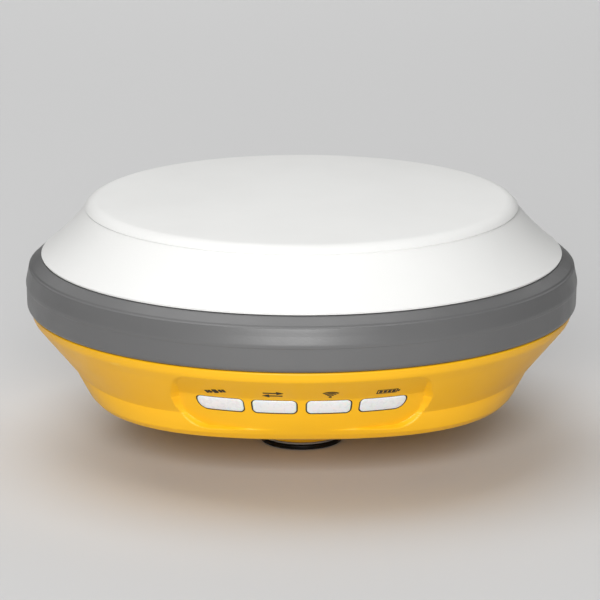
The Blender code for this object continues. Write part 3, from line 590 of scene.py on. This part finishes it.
def smooth_min(first, second, softness):
    share = max(0.0, min(1.0, 0.5 + 0.5 * (second - first) / softness))
    return second * (1 - share) + first * share - softness * share * (1 - share)


def outside_outline(x, height):
    """Distance outside the recess's front outline, below 0 inside it."""
    top, bottom = PANEL_TOP[1] + RECESS_ABOVE_PANEL, PANEL_LIP[1] - RECESS_BELOW_LIP
    middle = (top + bottom) / 2
    radius = PANEL_TOP_CORNER if height > middle else PANEL_BOTTOM_CORNER
    across = abs(x) - (PANEL_HALF_WIDTH - radius)
    along = abs(height - middle) - ((top - bottom) / 2 - radius)
    return math.hypot(max(across, 0.0), max(along, 0.0)) + min(max(across, along), 0.0) - radius


def facet_radius(height):
    """Radius of the recess's two facets, with a soft crease between them."""
    rise = height - PANEL_CREASE[1]
    upper = (PANEL_TOP[0] - PANEL_CREASE[0]) / (PANEL_TOP[1] - PANEL_CREASE[1])
    lower = (PANEL_CREASE[0] - PANEL_LIP[0]) / (PANEL_CREASE[1] - PANEL_LIP[1])
    soft = math.sqrt(rise * rise + 0.25)
    return PANEL_CREASE[0] + 0.5 * (upper + lower) * rise + 0.5 * (upper - lower) * soft


def recessed(x, y, z):
    """A point of the outer surface, drawn back where the status panel's recess lies."""
    if y > -40 or z > PANEL_TOP[1] + 2.5 or z < PANEL_LIP[1] - 2.5:
        return (x, y, z)
    radius = math.hypot(x, y)
    outside = outside_outline(x, z)
    floor = facet_radius(z) + RECESS_RAMP * max(0.0, outside + RECESS_RAMP_START)
    new_radius = smooth_min(radius, floor, RECESS_SOFTNESS)
    return (x * new_radius / radius, y * new_radius / radius, z)


def housing_columns():
    """Azimuths in degrees: close together across the status panel, wider elsewhere."""
    panel = list(np.arange(-90 - 36, -90 + 36, 0.4))
    rest = list(np.arange(-90 + 36, -90 + 36 + 288, 1.6))
    return panel + rest


def housing_shell():
    """The closed shell: outer rows, boss and inner rows, around the same azimuths."""
    columns = housing_columns()
    rows = housing_profile()
    verts = []
    for half_width, height, squareness, dip in rows:
        for azimuth in columns:
            turn = math.radians(azimuth)
            radius = squareness_radius(half_width, squareness, turn)
            z = height - dip * math.sin(2 * turn) ** 2
            verts.append(recessed(*polar(radius, turn), z))
    count = len(columns)
    boss = rounded_path(
        [(40.0, FLOOR_Z, 0), (13.6, FLOOR_Z, 2.2), (12.0, 6.0, 6.0), (11.65, 2.2, 0.35), (9.35, 2.2, 0.2),
        (9.35, 20.6, 0.2), (12.1, 20.6, 0.3), (12.1, FLOOR_Z + 2.8, 0.5), (40.0, FLOOR_Z + 2.8, 0)]
    )
    ring_rows = [(half_width, height, 2.0) for half_width, height in boss] + list(INNER_CORNERS)
    for half_width, height, squareness in ring_rows:
        for azimuth in columns:
            turn = math.radians(azimuth)
            radius = squareness_radius(half_width, squareness, turn)
            verts.append((*polar(radius, turn), height))
    faces = grid_faces(len(rows) + len(ring_rows), count, close_rows=True)
    return new_object("housing_lower", verts, faces, "housing_yellow", body=None)


def facet_point(far_end, side, across, along, out):
    """A point on a facet: millimetres around the housing, along the facet from its crease and out of it."""
    crease = Vector(PANEL_CREASE)
    ahead = (Vector(far_end) - crease).normalized()
    point = crease + ahead * along + Vector((-ahead.y, ahead.x)) * side * out
    return (*polar(point.x, math.radians(-90) + across / PANEL_CREASE[0]), point.y)


def on_facet(across, down_slope, out):
    return facet_point(PANEL_LIP, 1, across, down_slope, out)


def on_upper_facet(across, up_slope, out):
    return facet_point(PANEL_TOP, -1, across, up_slope, out)


def window_outline(start, end, grow=0.0):
    """A window's rounded outline, millimetres across and down; the end windows have one wide corner."""
    per_degree = PANEL_CREASE[0] * math.pi / 180
    low, high = start * per_degree - grow, end * per_degree + grow
    top, bottom = 0.55 - grow, 0.55 + WINDOW_HEIGHT + grow
    small = 1.3 + grow
    wide = 3.0 + grow
    low_corner = wide if start < -20 else small
    high_corner = wide if end > 20 else small
    corners = [(low, top, small), (high, top, small), (high, bottom, high_corner), (low, bottom, low_corner)]
    return fill_path(rounded_path(corners, closed=True) + [(low, top + small)], 0.8)[:-1]


def window_spans():
    spans = [(-end, -start) for start, end in reversed(WINDOW_SPANS)]
    return spans + [tuple(span) for span in WINDOW_SPANS]


def facet_solid(name, outline, depth, top, edge, look, mapping, crown=0.0, **options):
    """A closed pad that follows a facet: rounded edge, and a slightly crowned face."""
    rings = [(0.0, depth)]
    for step in range(5):
        angle = math.radians(90 * step / 4)
        rings.append((edge * (1 - math.cos(angle)), top - edge * (1 - math.sin(angle))))
    middle = Vector((sum(p[0] for p in outline) / len(outline), sum(p[1] for p in outline) / len(outline)))
    verts = []
    for inset, out in rings:
        verts += [mapping(x, y, out) for x, y in shrink(outline, inset)]
    rim = shrink(outline, edge)
    fill_steps = (0.85, 0.6, 0.3)
    for share in fill_steps:
        lift = crown * (1 - share ** 2)
        verts += [mapping(*(middle + (Vector(point) - middle) * share), top + lift) for point in rim]
    count = len(outline)
    faces = grid_faces(len(rings) + len(fill_steps), count)
    centre = len(verts)
    verts.append(mapping(middle.x, middle.y, top + crown))
    last = (len(rings) + len(fill_steps) - 1) * count
    faces += [(last + index, last + (index + 1) % count, centre) for index in range(count)]
    base = len(verts)
    verts.append(mapping(middle.x, middle.y, depth))
    faces += [((index + 1) % count, index, base) for index in range(count)]
    return new_object(name, verts, faces, look, **options)


def pocket_cutter(frame_matrix, radius, hole):
    """A stepped round cutter: a chamfered mouth, the pocket and the hole through its floor."""
    floor = -POCKET_DEPTH
    profile = [
        (0.02, 14), (radius + 3.0, 14), (radius + 0.0, 0.35), (radius, floor), (hole, floor), (hole, -16),
        (0.02, -16)
    ]
    return turned("cutter", profile, "gap_black", frame_matrix, closed=False, columns=64, body=None)


def slab_cutter(outline, low, high, matrix=None):
    return plate("cutter", outline, low, high, "gap_black", matrix, edge=0.0, body=None)


def door_outline(grow=0.0):
    x, front, rear = DOOR_HIGH[0] + grow, DOOR_LOW[1] - grow, DOOR_HIGH[1] + grow
    return rounded_path(
        [(-x, front, 7.0 + grow), (x, front, 7.0 + grow), (x, rear, 0.3), (-x, rear, 0.3)], closed=True
    )


def spot_of(node):
    """The middle of a CAD node, seen from below."""
    low, high = box_mm(node)
    return (low[0] + high[0]) / 2, (low[1] + high[1]) / 2


def screw_spots():
    return [spot_of(f"housing_screw_{number}") for number in range(1, 7)]


def speaker_spots():
    """One sound hole in the middle and six around it."""
    x, y = spot_of("speaker")
    ring = [math.radians(60 * index) for index in range(6)]
    return [(x, y)] + [(x + 4 * math.cos(turn), y + 4 * math.sin(turn)) for turn in ring]


def chamfered_hole(place, radius, depth, chamfer):
    """A cutter for a round hole up through the underside, with a small chamfer at its mouth."""
    profile = [(0.02, depth), (radius, depth), (radius, FLOOR_Z + chamfer), (radius + chamfer, FLOOR_Z),
               (radius + chamfer + 2.5, FLOOR_Z - 2.5), (0.02, FLOOR_Z - 2.5)]
    return turned(
        "cutter", profile, "gap_black", Matrix.Translation((*place, 0)), closed=False, columns=40, body=None
    )


def make_housing():
    """The housing shell with its window openings, rear pockets, battery opening and underside holes."""
    housing = housing_shell()
    cutters = []
    for start, end in window_spans():
        outline = window_outline(start, end, WINDOW_GAP)
        cutters.append(facet_solid("cutter", outline, -16.0, 3.0, 0.02, "gap_black", on_facet, body=None))
    cutters.append(pocket_cutter(fitting_frame(ANTENNA_AZIMUTH), 7.6, 3.3))
    cutters.append(pocket_cutter(fitting_frame(BUTTON_AZIMUTH), 6.4, 2.2))
    port = fitting_frame(PORT_AZIMUTH)
    cutters.append(slab_cutter(rectangle(-11.3, 11.3, -5.8, 5.8, 0.7), -POCKET_DEPTH, 12, port))
    cutters.append(slab_cutter(door_outline(0.3), FLOOR_Z - 4, FLOOR_Z + 5))
    cutters += [chamfered_hole(spot, 3.1, FLOOR_Z + 1.5, 0.25) for spot in screw_spots()]
    cutters.append(chamfered_hole(spot_of("vent_plug"), 4.2, FLOOR_Z + 8, 0.3))
    cutters += [chamfered_hole(spot, 0.9, FLOOR_Z + 8, 0.2) for spot in speaker_spots()]
    boolean(housing, merge(*cutters), sharp=32.0)
    port_hole = slab_cutter(rectangle(-4.9, 4.9, -2.1, 2.1, 1.8), -16, -POCKET_DEPTH + 0.5, port)
    keeper = slab_cutter(rectangle(-4.8, 4.8, 12.0, 16.0, 0.3), FLOOR_Z + 0.95, FLOOR_Z + 2.1)
    boolean(housing, merge(port_hole, keeper), sharp=32.0)
    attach(housing, "receiver")
    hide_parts("lower_housing")


def make_windows():
    """The four light windows, each in a gap darkened by a near-black seal that paints the shade in the gap."""
    for number, (start, end) in enumerate(window_spans(), 1):
        facet_solid(f"window_{number}", window_outline(start, end), -7.0, 0.05, 0.3, "window_white", on_facet,
                    crown=0.12, replaces=(f"status_window_{number}",))
        # Painted shade: a near-black seal fills the gap round the window, raised to 0.12 mm under the surface so
        # that the gap reads as a dark line.
        shade_seal_outline = window_outline(start, end, WINDOW_GAP - 0.02)
        facet_solid(f"window_shade_seal_{number}", shade_seal_outline, -6.0, -0.12, 0.05, "gap_black", on_facet)


# ---- icons above the windows

def stroke(points, width):
    """The outline of a line of that width through the points, as (x, y) corners."""
    points = [Vector(point) for point in points]
    count = len(points)
    left, right = [], []
    for index, point in enumerate(points):
        before = points[index - 1] if index else point
        after = points[index + 1] if index < count - 1 else point
        ahead = (after - before).normalized()
        side = Vector((-ahead.y, ahead.x)) * width / 2
        left.append(point + side)
        right.append(point - side)
    return left, right


def rim_faces(rim, shift):
    """The side faces between a rim of corners and the same rim, shift places later."""
    return [
        (corner, rim[(index + 1) % len(rim)], rim[(index + 1) % len(rim)] + shift, corner + shift)
        for index, corner in enumerate(rim)
    ]


def strip_faces(count, base):
    """All faces of a thin closed strip: two rows of corners at one height, then two at another."""
    rim = [base + index for index in range(count)] + [base + 2 * count - 1 - index for index in range(count)]
    faces = grid_faces(2, count, close_columns=False, offset=base)
    faces += grid_faces(2, count, close_columns=False, offset=base + 2 * count)
    return faces + rim_faces(rim, 2 * count)


def icon_piece(name, outlines, centre, scale=1.0):
    """Thin printed shapes on the upper facet: each outline is a convex or strip-like polygon."""
    verts, faces = [], []
    for kind, points in outlines:
        base = len(verts)
        rows = points if kind == "strip" else (points,)
        for out in (0.03, 0.09):
            for row in rows:
                verts += [on_upper_facet(centre[0] + x * scale, centre[1] + y * scale, out) for x, y in row]
        count = len(rows[0])
        if kind == "strip":
            faces += strip_faces(count, base)
        else:
            rim = [base + index for index in range(count)]
            faces.append(tuple(rim))
            faces.append(tuple(index + count for index in rim))
            faces += rim_faces(rim, count)
    return new_object(name, verts, faces, "icon_black")


def line(points, width=0.34):
    return "strip", stroke(points, width)


def box(x_low, x_high, y_low, y_high):
    return "solid", ((x_low, y_low), (x_high, y_low), (x_high, y_high), (x_low, y_high))


def turned_box(centre, half_x, half_y, angle):
    turn = math.radians(angle)
    corners = ((-half_x, -half_y), (half_x, -half_y), (half_x, half_y), (-half_x, half_y))
    return "solid", tuple(
        (centre[0] + x * math.cos(turn) - y * math.sin(turn),
        centre[1] + x * math.sin(turn) + y * math.cos(turn)) for x, y in corners
    )


def satellite_icon():
    """A body with two solar panels on either side of it, on one sloping boom."""
    slope = 14
    turn = math.radians(slope)
    parts = [turned_box((0, 0), 0.62, 0.95, slope)]
    for side in (-1, 1):
        for step in (1.45, 2.35):
            place = (side * step * math.cos(turn), side * step * math.sin(turn))
            parts.append(turned_box(place, 0.34, 0.75, slope))
        parts.append(line([(0, 0), (side * 2.7 * math.cos(turn), side * 2.7 * math.sin(turn))], 0.26))
    return parts


def data_icon():
    """Two rows of dashes with arrow heads: data going out and coming in."""
    parts = []
    for side, height in ((1, 0.75), (-1, -0.75)):
        parts.append(line([(-2.3 * side, height), (1.4 * side, height)], 0.5))
        parts.append(
            ("solid", ((0.9 * side, height + 0.85), (2.6 * side, height), (0.9 * side, height - 0.85)))
        )
    return parts


def wireless_icon():
    parts = [("solid", tuple(arc((0, -1.35), 0.42, 0, 324, 9)))]
    for radius in (1.15, 1.95, 2.75):
        parts.append(line(arc((0, -1.35), radius, 48, 132, 10), 0.46))
    return parts


def battery_icon():
    outer = [line([(-2.8, -0.95), (2.3, -0.95)], 0.26), line([(-2.8, 0.95), (2.3, 0.95)], 0.26),
             line([(-2.7, -1.05), (-2.7, 1.05)], 0.26), line([(2.2, -1.05), (2.2, 1.05)], 0.26)]
    outer.append(box(2.45, 2.95, -0.45, 0.45))
    outer += [box(-2.25 + 1.1 * index, -1.45 + 1.1 * index, -0.6, 0.6) for index in range(4)]
    return outer


def make_icons():
    """One printed sign above each window."""
    per_degree = PANEL_CREASE[0] * math.pi / 180
    for (start, end), drawing, name in zip(
        window_spans(), (satellite_icon(), data_icon(), wireless_icon(), battery_icon()),
        ("satellite", "data", "wireless", "battery")
    ):
        middle = (start + end) / 2 * per_degree
        icon_piece(f"icon_{name}", drawing, (middle, 3.3), 1.1)


# ---- pole mount

THREAD_PITCH = 25.4 / 11
THREAD_TURNS = 7
THREAD_START_Z = 0.9
THREAD_ROOT = 8.36
THREAD_CREST = 7.05
THREAD_COLUMNS = 72


def make_mount():
    """The black insert: tapered flange, chamfered face, and a right-hand thread inside; on the flange a washer
    whose pale grey partly paints the highlight line along the flange's top edge.
    """
    low, high = INSERT_LOW[2], MOUNT_TOP_Z
    body = rounded_path(
        [(0.02, high, 0), (9.0, high, 0.5), (9.0, 1.4, 0.2), (11.8, 1.4, 0.25), (11.85, 0.35, 0.2),
        (11.3, low + 0.02, 0.2), (9.7, low, 0), (8.55, low, 0.15), (8.35, 0.55, 0.2), (8.35, 18.2, 0.3),
        (0.02, 18.2, 0)]
    )
    turned("mount_body", body, "black_aluminium", closed=False, columns=128, replaces=("mount_insert",))
    section = ((THREAD_ROOT, -0.30), (THREAD_CREST, -0.13), (THREAD_CREST, 0.13), (THREAD_ROOT, 0.30))
    verts, faces = [], []
    total = THREAD_TURNS * THREAD_COLUMNS
    for step in range(total + 1):
        angle = 2 * math.pi * step / THREAD_COLUMNS
        height = THREAD_START_Z + THREAD_PITCH * step / THREAD_COLUMNS
        fade = min(1.0, step / 20, (total - step) / 20)
        for radius, rise in section:
            reach = THREAD_ROOT - (THREAD_ROOT - radius) * fade
            verts.append((*polar(reach, angle), height + rise * THREAD_PITCH * 1.45))
    for step in range(total):
        for index in range(4):
            after = (index + 1) % 4
            faces.append((4 * step + index, 4 * step + after, 4 * step + 4 + after, 4 * step + 4 + index))
    faces += [(0, 1, 2, 3), tuple(4 * total + index for index in range(4))]
    new_object("mount_thread", verts, faces, "black_aluminium", sharp=25)
    # The washer's pale grey is partly its own colour and partly a painted highlight: it draws the light line
    # between the boss and the black flange.
    washer = rounded_path(
        [(9.35, 1.52, 0.15), (11.35, 1.52, 0.2), (11.35, 2.05, 0.2), (9.35, 2.05, 0.15)], closed=True
    )
    turned("washer", washer, "washer_nylon", columns=96, replaces=("mount_washer",))


# ---- underside

def make_door():
    """The battery door: rounded edges, shallow ribs, a thumb recess round the latch, and its knuckle."""
    hinge = JOINTS["battery_door_hinge"]["pos_m"]
    axis_y, axis_z = hinge[1] / MM, hinge[2] / MM
    half = DOOR_HIGH[0]
    top = DOOR_HIGH[2]
    radius = axis_z - DOOR_LOW[2]
    front = DOOR_LOW[1]
    rear = axis_y + 0.3
    corners = [(-half, front, 7.0), (half, front, 7.0), (half, rear, 0), (-half, rear, 0)]
    outline = fill_path(rounded_path(corners, closed=True) + [(-half, rear)], 2.0)[:-1]
    door = plate("door_plate", outline, FLOOR_Z, top, "housing_yellow", edge=0.2, low_edge=0.5, body=None)
    knuckle_profile = rounded_path(
        [(0.7, -half, 0), (radius, -half, 0.3), (radius, half, 0.3), (0.7, half, 0)], closed=True
    )
    knuckle = turned(
        "knuckle", knuckle_profile, "housing_yellow", along_x((0, axis_y, axis_z)), columns=40, body=None
    )
    boolean(door, knuckle, "UNION")
    channel = slab_cutter(rectangle(-4.8, 4.8, 12.0, 26.0, 0.4), FLOOR_Z + 0.95, FLOOR_Z + 2.1)
    thumb = slab_cutter(rectangle(-3.6, 3.6, 16.3, 25.3, 0.8), FLOOR_Z - 2, FLOOR_Z + 1.5)
    boolean(door, channel)
    boolean(door, thumb)
    cutters = []
    for index in range(5):
        y = 30.5 + 2.6 * index
        cutters.append(slab_cutter(rectangle(-20, 20, y - 0.5, y + 0.5, 0.48), FLOOR_Z - 2, FLOOR_Z + 0.4))
    boolean(door, merge(*cutters))
    dress(door, "housing_yellow", 35, "door", ("battery_door",))
    seal_outline = rectangle(-30.2, 30.2, 15.4, 37.6, 6.0)
    seal = plate("door_gasket", seal_outline, top + 0.02, top + 0.5, "rubber_black", edge=0.2, body=None)
    inner = slab_cutter(rectangle(-29.0, 29.0, 16.6, 36.4, 4.8), top - 2, top + 4)
    boolean(seal, inner)
    dress(seal, "rubber_black", 35, "door", ("battery_door_seal",))


def make_latch():
    """The sliding latch: a tongue in the door, and a thumb grip with ridges."""
    tongue_outline = rounded_path(
        [(-4.45, 15.15, 0.8), (4.45, 15.15, 0.8), (4.45, 23.35, 0.3), (-4.45, 23.35, 0.3)], closed=True
    )
    latch = plate("latch_tongue", tongue_outline, FLOOR_Z + 1.12, FLOOR_Z + 1.92, "plastic_black", edge=0.15,
                  low_edge=0.15, body=None)
    grip = plate("grip", rectangle(-3.15, 3.15, 18.95, 23.95, 0.7), FLOOR_Z - 0.1, FLOOR_Z + 1.4,
                 "plastic_black", edge=0.1, low_edge=0.25, body=None)
    ridges = []
    for index in range(4):
        y = 19.8 + 1.1 * index
        ridges.append(plate("ridge", rectangle(-2.6, 2.6, y - 0.22, y + 0.22, 0.2), FLOOR_Z - 0.24,
                            FLOOR_Z + 0.1, "plastic_black", edge=0.02, low_edge=0.12, body=None))
    merge(latch, grip, *ridges)
    dress(latch, "plastic_black", 35, "latch", ("battery_latch",))


def make_screws():
    """Hex socket screws under the housing."""
    for number, (x, y) in enumerate(screw_spots(), 1):
        place = Matrix.Translation((x, y, 0))
        face = FLOOR_Z + 0.25
        seat = FLOOR_Z + 1.35
        profile = rounded_path(
            [(0.02, seat + 0.2, 0), (2.78, seat + 0.2, 0), (2.78, face, 0.4), (0.02, face, 0)]
        )
        screw = turned("screw", profile, "steel", place, closed=False, columns=48, body=None)
        hexagon = [
            (1.3 * math.cos(math.radians(60 * i)), 1.3 * math.sin(math.radians(60 * i))) for i in range(6)
        ]
        socket = slab_cutter(hexagon, FLOOR_Z - 2, face + 0.85, place)
        boolean(screw, socket)
        screw.name = f"screw_{number}"
        dress(screw, "steel", 30, "receiver", (f"housing_screw_{number}",))


def make_vent():
    """The pressure vent: a dished cap with four crossed ribs."""
    x, y = spot_of("vent_plug")
    place = Matrix.Translation((x, y, 0))
    face = FLOOR_Z + 0.3
    profile = rounded_path(
        [(0.02, face + 1.4, 0), (3.9, face + 1.4, 0), (3.9, face, 0.3), (3.2, face, 0.15),
        (3.0, face + 0.35, 0.15), (0.02, face + 0.35, 0)]
    )
    turned("vent_cap", profile, "vent_grey", place, closed=False, columns=64, replaces=("vent_plug",))
    for index in range(4):
        turn = Matrix.Rotation(math.radians(45 * index), 4, "Z")
        plate(f"vent_rib_{index + 1}", rectangle(-2.95, 2.95, -0.2, 0.2, 0.1), face + 0.05, face + 0.5,
              "vent_grey", place @ turn, edge=0.05, low_edge=0.08)


# ---- rear fittings

def make_antenna_fitting():
    """A threaded coaxial connector under a ribbed rubber cap."""
    place = fitting_frame(ANTENNA_AZIMUTH)
    floor = -POCKET_DEPTH
    thread = [(5.45, 4.0), (5.3, 3.85)]
    height = 3.6
    while height > floor + 1.9:
        thread += [(5.45, height), (5.12, height - 0.25)]
        height -= 0.5
    body = thread + rounded_path(
        [(5.45, floor + 1.6, 0), (6.6, floor + 1.6, 0.2), (6.6, floor + 0.2, 0.1), (3.0, floor + 0.2, 0),
        (3.0, -9.6, 0.2), (2.1, -9.6, 0), (2.1, floor + 1.2, 0), (4.6, floor + 1.2, 0.1), (4.6, 3.8, 0.1),
        (4.9, 4.0, 0)]
    )
    turned("coax_body", body, "brass", place, columns=96, sharp=28, replaces=("antenna_connector",))
    cap = rounded_path(
        [(0.02, 4.65, 0), (3.2, 4.65, 0.2), (3.4, 5.15, 0.2), (5.3, 5.15, 0.5), (6.38, 4.4, 0.6),
        (6.38, 3.3, 0.1), (6.1, 3.1, 0.1), (6.1, 2.7, 0.1), (6.38, 2.5, 0.1), (6.38, -1.2, 0.25),
        (5.75, -1.2, 0.15), (5.75, 4.3, 0.2), (0.02, 4.3, 0)]
    )
    shell = turned("dust_cap", cap, "rubber_black", place, closed=False, columns=96, body=None)
    ribs = []
    for index in range(16):
        turn = place @ Matrix.Rotation(math.radians(22.5 * index), 4, "Z")
        outline = rectangle(6.15, 6.46, -0.32, 0.32, 0.12)
        ribs.append(
            plate("rib", outline, -0.7, 2.2, "rubber_black", turn, edge=0.12, low_edge=0.12, body=None)
        )
    merge(shell, *ribs)
    dress(shell, "rubber_black", 35, "antenna_dust_cap", ("antenna_cap",))


def make_port_fitting():
    """A small oval socket with its tongue, under a hinged rubber cover with a finger lip."""
    place = fitting_frame(PORT_AZIMUTH)
    mouth = -POCKET_DEPTH + 0.6
    outer = fill_path(rectangle(-4.6, 4.6, -1.75, 1.75, 1.7), 1.0)
    socket = plate("port_socket", outer, -10.2, mouth, "steel", place, edge=0.1, body=None)
    hollow = slab_cutter(rectangle(-4.25, 4.25, -1.4, 1.4, 1.38), -9.4, 2, place)
    boolean(socket, hollow)
    dress(socket, "steel", 35, "receiver", ("service_port",))
    plate("port_tongue", rectangle(-3.3, 3.3, -0.35, 0.35, 0.2), -9.3, mouth - 0.8, "plastic_black",
          place, edge=0.1)
    for index in range(8):
        x = -2.8 + 0.8 * index
        plate(f"port_contact_{index + 1}", rectangle(x - 0.18, x + 0.18, 0.33, 0.4, 0), -9.0, mouth - 1.1,
              "brass", place, edge=0.02)
    hinge_place = shifted(place, 0, -4.5, -0.7)
    axis = shifted(place, 0, -4.5, -0.7) @ Matrix.Rotation(math.radians(90), 4, "Y")
    corners = [(-10.75, 0, 0), (10.75, 0, 0), (10.75, 9.75, 2.0), (-10.75, 9.75, 2.0)]
    outline = fill_path(rounded_path(corners, closed=True) + [(-10.75, 0)], 1.2)[:-1]
    cover = plate(
        "port_lid", outline, -0.98, 0.98, "rubber_black", hinge_place, edge=0.4, low_edge=0.15, body=None
    )
    knuckle_profile = rounded_path(
        [(0.65, -10.75, 0), (0.99, -10.75, 0.1), (0.99, 10.75, 0.1), (0.65, 10.75, 0)], closed=True
    )
    knuckle = turned("knuckle", knuckle_profile, "rubber_black", axis, columns=32, body=None)
    plug = plate("plug", rectangle(-5.55, 5.55, 1.95, 7.15, 1.6), -1.48, -0.9, "rubber_black",
                 hinge_place, edge=0.02, low_edge=0.2, body=None)
    ridge_outline = fill_path(rectangle(-8.6, 8.6, 2.2, 7.7, 1.4), 1.0)
    ridge = plate("ridge", ridge_outline, 0.8, 1.16, "rubber_black", hinge_place, edge=0.12, body=None)
    dish = slab_cutter(rectangle(-7.9, 7.9, 2.9, 7.0, 0.9), 0.99, 3, hinge_place)
    boolean(ridge, dish)
    lip = plate("lip", rectangle(-2.6, 2.6, 8.5, 9.7, 0.4), 0.8, 1.45, "rubber_black", hinge_place,
                edge=0.25, body=None)
    merge(cover, knuckle, plug, ridge, lip)
    dress(cover, "rubber_black", 35, "port_flap", ("port_cover",))


def make_power_fitting():
    """A rubber power button with the usual ring-and-bar sign, in a chamfered bezel."""
    place = fitting_frame(BUTTON_AZIMUTH)
    floor = -POCKET_DEPTH
    bezel = rounded_path(
        [(6.1, 0.05, 0.25), (6.1, floor + 0.2, 0), (5.3, floor + 0.2, 0), (5.3, -0.25, 0.1),
        (5.55, 0.05, 0.1)], closed=True
    )
    turned("button_bezel", bezel, "plastic_black", place, columns=96, replaces=("power_button_bezel",))
    button = rounded_path(
        [(0.02, 0.12, 0), (3.4, 0.12, 2.0), (4.3, 0.3, 0.4), (4.88, -0.15, 0.35), (4.88, -1.6, 0.1),
        (1.8, -1.6, 0.1), (1.8, -7.1, 0.2), (0.02, -7.1, 0)]
    )
    turned(
        "button_cap", button, "rubber_black", place, closed=False, columns=96, body="button",
        replaces=("power_button",)
    )
    sign = [line(arc((0, 0), 1.75, 130, 410, 36), 0.45), line([(0, 0.5), (0, 2.3)], 0.45)]
    verts, faces = [], []
    for _, rows in sign:
        base = len(verts)
        count = len(rows[0])
        for out in (0.05, 0.2):
            for row in rows:
                verts += [tuple(place @ Vector((x, y, out))) for x, y in row]
        faces += strip_faces(count, base)
    new_object("button_sign", verts, faces, "icon_white", body="button")


# ---- stage, light and camera

AIM_HEIGHT = 41.66
AIM_X = -0.46
CAMERA_DISTANCE = 1100.0
CAMERA_ELEVATION = 14.13
LENS = 229.0
SENSOR_WIDTH = 36.0

# Metres, as lamps and the floor are placed in the scene's own units.
FLOOR_HALF_WIDTH = 3.0
FLOOR_COLOUR = (0.62, 0.62, 0.62, 1.0)
FLOOR_ROUGHNESS = 0.9
WORLD_STRENGTH = 0.05
LIGHT_TARGET = (0.0, 0.0, 0.04)


def aim(obj, target):
    obj.rotation_euler = (Vector(target) - obj.location).to_track_quat("-Z", "Y").to_euler()


def area_light(name, place, target, width, height, watts):
    data = bpy.data.lights.new(name, "AREA")
    data.shape = "RECTANGLE"
    data.size, data.size_y = width, height
    data.energy = watts
    lamp = bpy.data.objects.new(name, data)
    lamp.location = place
    bpy.context.scene.collection.objects.link(lamp)
    aim(lamp, target)


def make_stage():
    """A pale floor, a dim white world and three soft lamps."""
    size = FLOOR_HALF_WIDTH
    mesh = bpy.data.meshes.new("floor")
    mesh.from_pydata(
        [(-size, -size, 0), (size, -size, 0), (size, size, 0), (-size, size, 0)], [], [(0, 1, 2, 3)]
    )
    floor = bpy.data.objects.new("floor", mesh)
    bpy.context.scene.collection.objects.link(floor)
    pale = bpy.data.materials.new("pale_floor")
    pale.use_nodes = True
    pale.node_tree.nodes["Principled BSDF"].inputs["Base Color"].default_value = FLOOR_COLOUR
    pale.node_tree.nodes["Principled BSDF"].inputs["Roughness"].default_value = FLOOR_ROUGHNESS
    mesh.materials.append(pale)
    world = bpy.data.worlds.new("studio")
    world.use_nodes = True
    world.node_tree.nodes["Background"].inputs["Color"].default_value = (1.0, 1.0, 1.0, 1.0)
    world.node_tree.nodes["Background"].inputs["Strength"].default_value = WORLD_STRENGTH
    bpy.context.scene.world = world
    area_light("key_softbox", (-0.1, -1.85, 0.78), LIGHT_TARGET, 0.9, 0.7, 38.0)
    area_light("overhead_softbox", (-0.2, 0.15, 1.25), LIGHT_TARGET, 1.2, 1.2, 11.0)
    area_light("backdrop_softbox", (0.0, 1.5, 0.9), (0.0, 1.7, 0.0), 2.4, 1.2, 14.0)


def make_camera():
    data = bpy.data.cameras.new("camera")
    data.lens = LENS
    data.sensor_width = SENSOR_WIDTH
    data.clip_start = 0.05
    camera = bpy.data.objects.new("camera", data)
    rise = math.radians(CAMERA_ELEVATION)
    target = Vector((AIM_X, 0.0, AIM_HEIGHT)) * MM
    camera.location = target + Vector((0.0, -math.cos(rise), math.sin(rise))) * CAMERA_DISTANCE * MM
    bpy.context.scene.collection.objects.link(camera)
    aim(camera, target)
    bpy.context.scene.camera = camera
    bpy.context.scene.view_settings.view_transform = "Standard"


make_radome()
make_band()
make_housing()
make_windows()
make_icons()
make_mount()
make_door()
make_latch()
make_screws()
make_vent()
make_antenna_fitting()
make_port_fitting()
make_power_fitting()
paint_frame_nodes()
make_stage()
make_camera()
